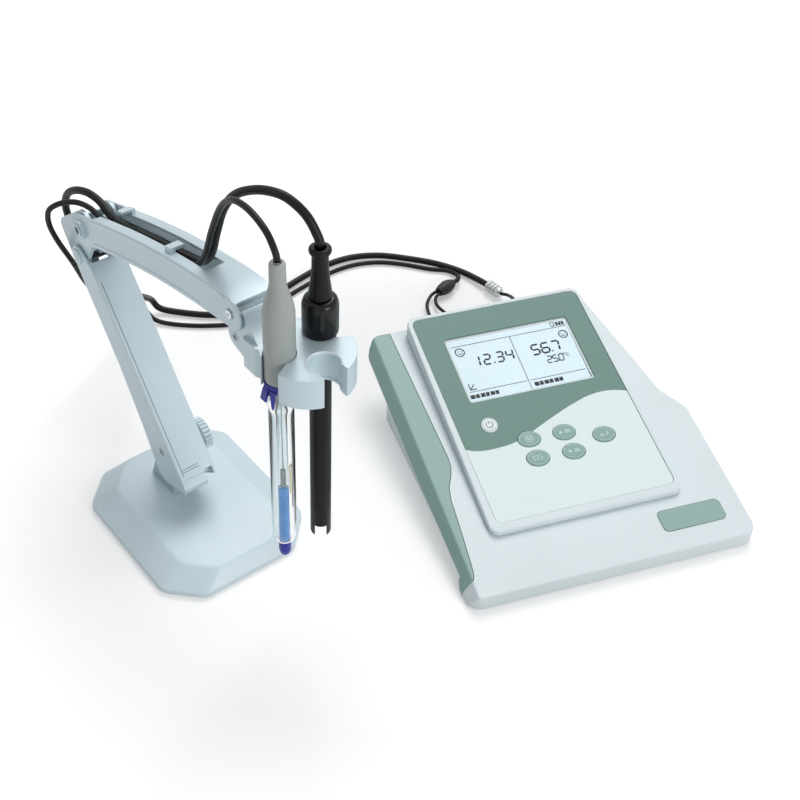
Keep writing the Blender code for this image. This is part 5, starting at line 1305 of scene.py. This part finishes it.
# %% Boot, collar and forked tube
boot_rubber = moulded("cell_boot_rubber", srgb(15, 15, 16), 0.42, 1100.0, 0.08, 0.1, 0.03, 0.18)
collar_gloss = moulded("cell_collar_gloss", srgb(12, 13, 14), 0.16, 900.0, 0.015, 0.06, 0.02, 0.26)
tube_black = moulded("cell_tube_black", srgb(17, 18, 20), 0.32, 1300.0, 0.03, 0.08, 0.03, 0.16)
pin_metal = moulded("cell_pin_metal", srgb(176, 180, 182), 0.28, 900.0, 0.04, 0.06, 0.2)
BOOT = [(2.75, 264.0), (4.4, 264.0), (5.7, 263.2), (5.7, 261.2), (4.2, 259.6), (4.3, 252.0), (5.0, 244.0),
        (6.3, 234.2), (2.75, 234.2)]
COLLAR = [(2.75, 233.9), (6.6, 233.9), (8.6, 232.8), (9.5, 230.2), (9.5, 213.7), (9.2, 212.3), (8.2, 212.3),
          (8.2, 200.2), (6.3, 200.2), (6.3, 222.0), (2.75, 222.0)]
TUBE = [(0.0, 221.7), (5.9, 221.7), (5.9, 63.4), (5.2, 62.0), (0.0, 62.0)]
CELL_PIN = [(0.0, 71.4), (1.5, 71.4), (1.5, 67.6), (0.9, 66.6), (0.0, 66.6)]
FORK_TURN, FORK_HALF, FORK_REACH, FORK_FOOT, FORK_TOP = math.radians(-37.0), 3.3, 9.0, 40.0, 71.0


def carved(mesh, cutter):
    """The mesh with another mesh cut out of it."""
    obj, tool = linked("carve", mesh), linked("carve", cutter)
    cut = obj.modifiers.new("cut", "BOOLEAN")
    cut.object = tool
    cut.solver = "EXACT"
    left = evaluated(obj)
    bpy.data.objects.remove(tool)
    return left


fork_block = []
for x, y in ((-1, -1), (1, -1), (1, 1), (-1, 1)):
    across, along = x * FORK_HALF, y * FORK_REACH
    fork_block.append((across * math.cos(FORK_TURN) - along * math.sin(FORK_TURN),
                       across * math.sin(FORK_TURN) + along * math.cos(FORK_TURN)))
turned("cell_boot_turned", BOOT, CELL_AT, boot_rubber, ["cell_boot"], 64, 1.0, True, 50.0)
turned("cell_collar_turned", COLLAR, CELL_AT, collar_gloss, ["cell_collar"], 72, 0.9, True,
       50.0)
forked = carved(lathe(TUBE, CELL_AT, 64, 0.6, False), plate(fork_block, CELL_AT, FORK_FOOT, FORK_TOP))
piece("cell_tube_forked", forked, tube_black, "head", ["cell_tube"], 40.0)
turned("cell_pin", CELL_PIN, CELL_AT, pin_metal, (), 32, 0.3)
print("the forked tube has", len(forked.polygons), "faces")

# %% [markdown]
# ## The knob and the spring
#
# The lower pivot is tightened by a pale knob with ribs for the fingers, and a black coil spring round
# the elbow pin carries the weight of the upper arm. Both are rules. The knob is a turned core with one
# rib repeated round a circle, and the spring is a helix with a round wire. A circle and a spiral give
# the points, and the tree does the rest.

# %% A tree that sets ribs round a circle
rib_tree, inner, outer = new_tree("ribs_round", (
    ("Count", "Int"), ("Radius", "Float"), ("Rib Radius", "Float"), ("Length", "Float"),
    ("Finish", "Material")))
ring = grow(rib_tree, "GeometryNodeMeshCircle", Vertices=inner.outputs["Count"],
            Radius=inner.outputs["Radius"])
rib = grow(rib_tree, "GeometryNodeMeshCylinder", Vertices=12, Radius=inner.outputs["Rib Radius"],
           Depth=inner.outputs["Length"])
ribs = grow(rib_tree, "GeometryNodeInstanceOnPoints", Points=ring.outputs[0], Instance=rib.outputs[0])
close_tree(rib_tree, ribs.outputs[0], inner, outer)
print("tree", rib_tree.name, "has", len(rib_tree.nodes), "nodes")

# %% [markdown]
# The core is turned with a hollow at its back for the bolt's end, and the ribs stand on its rim. They
# are joined to one mesh, because knob and ribs are one moulding and turn together.

# %% Build the knob
PIVOT_LOW, ELBOW_LOW, ELBOW_HIGH = (-16.9, 48.6), (-98.8, 149.9), (-88.0, 177.0)
KNOB_CORE = [(0.0, 20.6), (7.2, 20.6), (8.4, 20.2), (9.3, 19.6), (9.3, 14.2), (8.4, 13.4), (3.2, 13.2),
             (3.2, 18.0), (0.0, 18.0)]
KNOB_RIBS, RIBS_R, RIB_R, RIB_LONG, RIBS_AT = 22, 9.3, 1.1, 5.2, 16.9
AT_PIVOT = crosswise(*PIVOT_LOW)


def joined(*meshes):
    """Several plain meshes as one."""
    bm = bmesh.new()
    for mesh in meshes:
        bm.from_mesh(mesh)
    return to_mesh(bm, "joined")


rib_mesh = grown(rib_tree, dots([(0, 0, 0)]), Count=KNOB_RIBS, Radius=RIBS_R, Rib_Radius=RIB_R,
                 Length=RIB_LONG, Finish=stand_blue)
knob_ribs = placed(rib_mesh, lambda x, y, h: AT_PIVOT(x, y, h + RIBS_AT))
knob = joined(lathe(KNOB_CORE, AT_PIVOT, 64, 0.5, False), knob_ribs)
piece("tension_knob_ribbed", knob, stand_blue, "tension_knob", ["tension_knob"])
print("the knob has", KNOB_RIBS, "ribs")

# %% [markdown]
# A spring is a helix. Blender's spiral node gives the line and a small circle swept along it gives the
# wire, with both ends capped. It lies across the arms, round the elbow's lower pin.

# %% Build the elbow spring
coil_tree, inner, outer = new_tree("coil", (("Turns", "Float"), ("Radius", "Float"), ("Height", "Float"),
                                            ("Wire", "Float"), ("Finish", "Material")))
helix = grow(coil_tree, "GeometryNodeCurveSpiral", Resolution=40, Rotations=inner.outputs["Turns"],
             Start_Radius=inner.outputs["Radius"], End_Radius=inner.outputs["Radius"],
             Height=inner.outputs["Height"])
wire_end = grow(coil_tree, "GeometryNodeCurvePrimitiveCircle", Resolution=12, Radius=inner.outputs["Wire"])
coil = grow(coil_tree, "GeometryNodeCurveToMesh", Curve=helix.outputs[0], Profile_Curve=wire_end.outputs[0],
            Fill_Caps=True)
close_tree(coil_tree, coil.outputs[0], inner, outer)

spring_black = moulded("spring_black_oxide", srgb(38, 39, 41), 0.34, 1100.0, 0.06, 0.1, 0.12)
SPRING_TURNS, SPRING_PITCH, SPRING_R, SPRING_WIRE = 8.0, 1.6, 4.6, 0.75
SPRING_LONG = SPRING_TURNS * SPRING_PITCH
AT_ELBOW = crosswise(*ELBOW_LOW)
spring = grown(coil_tree, dots([(0, 0, 0)]), Turns=SPRING_TURNS, Radius=SPRING_R, Height=SPRING_LONG,
               Wire=SPRING_WIRE, Finish=spring_black)
spring = placed(spring, lambda x, y, h: AT_ELBOW(x, y, h - SPRING_LONG / 2))
piece("elbow_spring_coil", spring, spring_black, frame["nodes"]["elbow_spring"]["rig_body"], ["elbow_spring"],
      60.0)
print("the spring is", round(SPRING_LONG, 1), "mm long")

# %% [markdown]
# ## Pins
#
# The arms turn on pins whose ends show as small round heads. A head is a turned piece with a softened
# rim and a socket in it, whose floor is a dark disc: painted shade in the hole. They lie across the arms
# like the knob. The pivot bolt itself is plain turned steel, so its solid is only dressed.

# %% Steel finish and pin heads
NODE_OF = {"head": "electrode_head"}


def turned_steel(name, colour, rough):
    """Bright metal with fine turning marks."""
    finish, shader = new_finish(name)
    turning = noise(finish, 900.0, 2.0, (1.0, 1.0, 0.15))
    tinted(finish, shader, noise(finish, 60.0, 3.0), shade(colour, 0.88), colour)
    roughened(finish, shader, turning, rough - 0.08, rough + 0.1)
    settle(shader, Metallic=1.0)
    bump(finish, shader, turning, 0.06, 0.1)
    return finish


def pin_head(name, u, z, s, side, radius, high, body, finish, hole):
    """A round head that stands out of an arm's side at s, with a socket of radius hole whose floor is a dark
    disc of painted shade.
    """
    at, slot = crosswise(u, z), slot_of(NODE_OF.get(body, body))

    def out(share):
        return s + side * high * share

    rim = [(0.0, s), (radius, s), (radius, out(0.6)), (radius - 0.4, out(1.0)), (hole, out(1.0)),
           (hole, out(0.3)), (0.0, out(0.3))]
    piece(f"{name}_head", lathe(rim, at, 40, 0.2, False), finish, body, ())
    # the socket's floor is a dark disc: painted shade in the hole
    bottom = [(0.0, out(0.25)), (hole * 0.98, out(0.25)), (hole * 0.98, out(0.4)), (0.0, out(0.4))]
    piece(f"{name}_socket", lathe(bottom, at, 32, 0.02, False), socket_painted_shade, body, ())


steel = turned_steel("pin_bright_steel", srgb(198, 203, 206), 0.26)
# painted shade for the floor of the pin sockets
socket_painted_shade = moulded("pin_dark_socket", srgb(20, 21, 23), 0.6, 900.0, 0.05)
made = dress("pivot_bolt", steel, 0.2)
print(made.name, "carries", steel.name)

# %% [markdown]
# Three pins show on both sides of the stand: a wide boss at the elbow, a steel hinge pin where the arch
# meets the head, and the front pin of the link below it. Both sides come from one loop.

# %% Set the pin heads
HEAD_HIGH, LINK_FRONT = (74.3, 220.1), (74.3, 203.7)
SIDES = ((-1.0, "near"), (1.0, "far"))
for side, word in SIDES:
    pin_head(f"elbow_boss_{word}", *ELBOW_HIGH, side * 14.3, side, 4.2, 0.8, "upper_arm", stand_blue, 2.6)
    pin_head(f"hinge_pin_{word}", *HEAD_HIGH, side * 12.3, side, 2.7, 1.0, "head", steel, 0.9)
    pin_head(f"link_pin_{word}", *LINK_FRONT, side * 9.5, side, 3.0, 0.35, "head", stand_blue, 1.8)
print("pin heads on both sides of the arms")

# %% [markdown]
# ## Seams and beads of the arms
#
# The arms are pressed and folded sheet. A fold leaves a fine bead along its edge, and the cover of the
# lower arm meets the side plates in a thin seam. A bead is a curve with a small round section:
# the tree turns a line of edges into a curve and sweeps a circle along it. The seams are flat dark bars,
# a painted shadow of the gap.

# %% A tree that sweeps a bead
bead_tree, inner, outer = new_tree("bead", (("Radius", "Float"), ("Finish", "Material")))
as_curve = grow(bead_tree, "GeometryNodeMeshToCurve", Mesh=inner.outputs["Geometry"])
section = grow(bead_tree, "GeometryNodeCurvePrimitiveCircle", Resolution=10, Radius=inner.outputs["Radius"])
swept = grow(bead_tree, "GeometryNodeCurveToMesh", Curve=as_curve.outputs[0],
             Profile_Curve=section.outputs[0], Fill_Caps=True)
close_tree(bead_tree, swept.outputs[0], inner, outer)


def bead(name, route, radius, finish, body):
    """A bead along (s, u, z) points of the stand."""
    fine = smooth_curve([Vector(p) for p in route])
    seed = bpy.data.meshes.new("line")
    seed.from_pydata(fine, [(k, k + 1) for k in range(len(fine) - 1)], [])
    mesh = placed(grown(bead_tree, seed, Radius=radius, Finish=finish), stand)
    return piece(name, mesh, finish, body, (), 60.0)


print("tree", bead_tree.name, "has", len(bead_tree.nodes), "nodes")

# %% [markdown]
# The arch has a bead along the top and the bottom of each side. All four follow one line of points,
# dropped by the depth at which the bead lies. The lower ones stop short of the hinge.

# %% Beads of the upper arm
ARCH = ((-72.7, 191.9), (-55.0, 198.2), (-36.2, 204.6), (-18.0, 210.2), (-2.0, 214.8), (14.0, 218.8),
        (30.0, 222.4), (45.0, 225.6), (58.0, 228.0), (70.0, 229.4))
ARCH_HALF, TOP_DROP, LOWER_DROP, BEAD_R = 12.0, 1.9, 17.4, 0.6
# the beads take a paler copy of the stand's blue: a painted highlight along each bead
bead_painted_highlight = moulded("stand_bead_polished", srgb(214, 226, 236), 0.28, 2100.0, 0.03, metal=0.1)
for side, word in SIDES:
    for edge, drop, points in (("top", TOP_DROP, ARCH), ("lower", LOWER_DROP, ARCH[:-2])):
        route = [(side * ARCH_HALF, u, z - drop) for u, z in points]
        bead(f"arch_bead_{edge}_{word}", route, BEAD_R, bead_painted_highlight, "upper_arm")
print("four beads along the arch")

# %% [markdown]
# The free bay of the head has a fine moulded rim at its top and a lip at its foot, which keep an
# electrode from rattling. Each is a bead again, bent to the part of a circle that the bay leaves closed.

# %% Rims of the free bay
BAY_AT, BAY_R, BAY_CLOSED, BAY_STEPS = (9.6, 124.9), 9.0, (142.0, 398.0), 12
BAY_RIMS = (("top", 211.6, 0.75), ("foot", 194.6, 1.0))
turns = [math.radians(BAY_CLOSED[0] + (BAY_CLOSED[1] - BAY_CLOSED[0]) * k / BAY_STEPS)
         for k in range(BAY_STEPS + 1)]
for word, z, radius in BAY_RIMS:
    route = [(BAY_AT[0] + BAY_R * math.cos(a), BAY_AT[1] + BAY_R * math.sin(a), z) for a in turns]
    # the rims take the same paler blue, a painted highlight
    bead(f"bay_rim_{word}", route, radius, bead_painted_highlight, "head")
print("rims in the free bay:", len(BAY_RIMS))

# %% [markdown]
# The cover of the lower arm meets the near plate in one long seam, and its foot has two short lines
# where it is folded. They are dark bars laid on the cover, painted shadow of the gap and of the folds.
# The cover rises a little towards the elbow, so one function places a point by its way along, across
# and above the cover.

# %% Seams of the lower arm
# dark bars for the seam and the folds: painted shadow in the gap
seam_painted_shadow = moulded("seam_shadow", srgb(72, 80, 88), 0.6, 900.0, 0.05, 0.05, 0.0, 0.2)
ARM_WAY, ARM_FACE, ARM_HALF = Vector((-0.6286, 0.7777)), Vector((0.7777, 0.6286)), 12.0
COVER_FOOT, COVER_LONG, COVER_LOW, COVER_GROWS = -20.6, 132.6, 12.5, 0.7


def on_cover(t, s, h):
    """A place on the cover of the lower arm: t along it, s across it, h above it."""
    height = COVER_LOW + (t - COVER_FOOT) * COVER_GROWS / COVER_LONG + h
    return stand(s, *(Vector(PIVOT_LOW) + ARM_WAY * t + ARM_FACE * height))


seams = [bar(-18.0, -9.3, 111.0, -9.3, 0.34), bar(-14.2, -8.6, -14.2, 2.6, 0.3),
         bar(-15.8, -8.8, -15.8, 3.0, 0.3)]
piece("lower_arm_seams", laid_bars(seams, 0.1, seam_painted_shadow, on_cover), seam_painted_shadow, "lower_arm", (),
      None)
foot_pin = Vector(PIVOT_LOW) + ARM_WAY * COVER_FOOT + ARM_FACE * 5.0
pin_head("pivot_hole", *PIVOT_LOW, -ARM_HALF, -1.0, 2.6, 0.3, "lower_arm", stand_blue, 1.9)
pin_head("foot_pin", *foot_pin, -ARM_HALF, -1.0, 1.7, 0.4, "lower_arm", stand_blue, 0.9)
print("seams:", len(seams))

# %% [markdown]
# ## The rear of the meter
#
# The leads end in three round plugs at the rear: a metal shell that locks onto its socket, and a
# rubber sleeve with grooves that keeps the lead from kinking. A plug is two turned pieces. The
# sockets behind them and the power inlet are small and keep their own solids, only dressed.

# %% Plugs
nickel = turned_steel("plug_nickel", srgb(196, 199, 198), 0.24)
sleeve_rubber = moulded("plug_sleeve_rubber", srgb(22, 22, 24), 0.5, 1100.0, 0.1, 0.1, 0.05, 0.4)
SOCKET_Z, REAR_Y = 17.5, 175.0
SLEEVE_RIM, GROOVE_DEEP = 1.6, 0.35
PLUGS = {"bnc_plug": (66.0, 7.0, 2.2, 13.5, 2.6, 28.0), "temp_plug": (84.0, 4.6, 2.0, 12.0, 2.4, 26.0),
         "cell_plug": (122.0, 7.0, 2.2, 15.0, 2.8, 30.0)}


def rearward(x):
    """The axis of a plug, which points to the rear."""
    return lambda a, b, h: bench(x + a, REAR_Y + h, SOCKET_Z + b)


def plug_shell(r, low, mid):
    """The outline of a metal shell with a groove near its rear end."""
    return [(0.0, low), (r - 0.3, low), (r, low + 0.4), (r, mid - 4.0), (r - 0.5, mid - 3.6),
            (r - 0.5, mid - 2.0), (r, mid - 1.6), (r, mid - 0.3), (r - 0.4, mid), (0.0, mid)]


def grooved_sleeve(r0, h0, r1, h1, grooves=5):
    """The outline of a sleeve that tapers from r0 to r1, with grooves along its narrow end."""
    foot = h0 + SLEEVE_RIM
    outline = [(0.0, h0), (r0, h0), (r0, foot)]
    for k in range(grooves):
        start = 0.25 + 0.65 * k / grooves
        for d, cut in ((0.0, 0.0), (0.02, GROOVE_DEEP), (0.06, GROOVE_DEEP), (0.08, 0.0)):
            t = start + d
            outline.append((r0 + (r1 - r0) * t - cut, foot + (h1 - foot) * t))
    return outline + [(r1, h1), (0.0, h1)]


for name, (x, r, low, mid, tail, end) in PLUGS.items():
    shell = lathe(plug_shell(r, low, mid), rearward(x), 48, 0.2, False)
    piece(f"{name}_shell", shell, nickel, "base", [name])
    sleeve = lathe(grooved_sleeve(r - SLEEVE_RIM, mid, tail, end), rearward(x), 40, 0.15, False)
    piece(f"{name}_sleeve", sleeve, sleeve_rubber, "base", [name])
print("plugs:", ", ".join(PLUGS))

# %% [markdown]
# The sockets, the power inlet and the two fittings on the leads are right in their solids. They only
# need their edges rounded and a finish: nickel for what locks, rubber or black plastic for the rest.

# %% Sockets, splitter and ferrule
dress_all(("bnc_socket", nickel, 0.15), ("temp_socket", nickel, 0.15), ("cell_socket", nickel, 0.15),
          ("dc_inlet", black_plastic, 0.15), ("lead_splitter", sleeve_rubber, 0.3),
          ("lead_ferrule", nickel, 0.2))

# %% [markdown]
# ## The length of the leads
#
# A lead has a real length and thickness, and something at its far end: another stretch, a fitting or
# a plug. Here the lengths of all the stretches are added up.

whole = sum(path_length(path) for _, path, _ in lead_runs.values())
print(len(lead_runs), "stretches, together", round(whole, 3), "m")
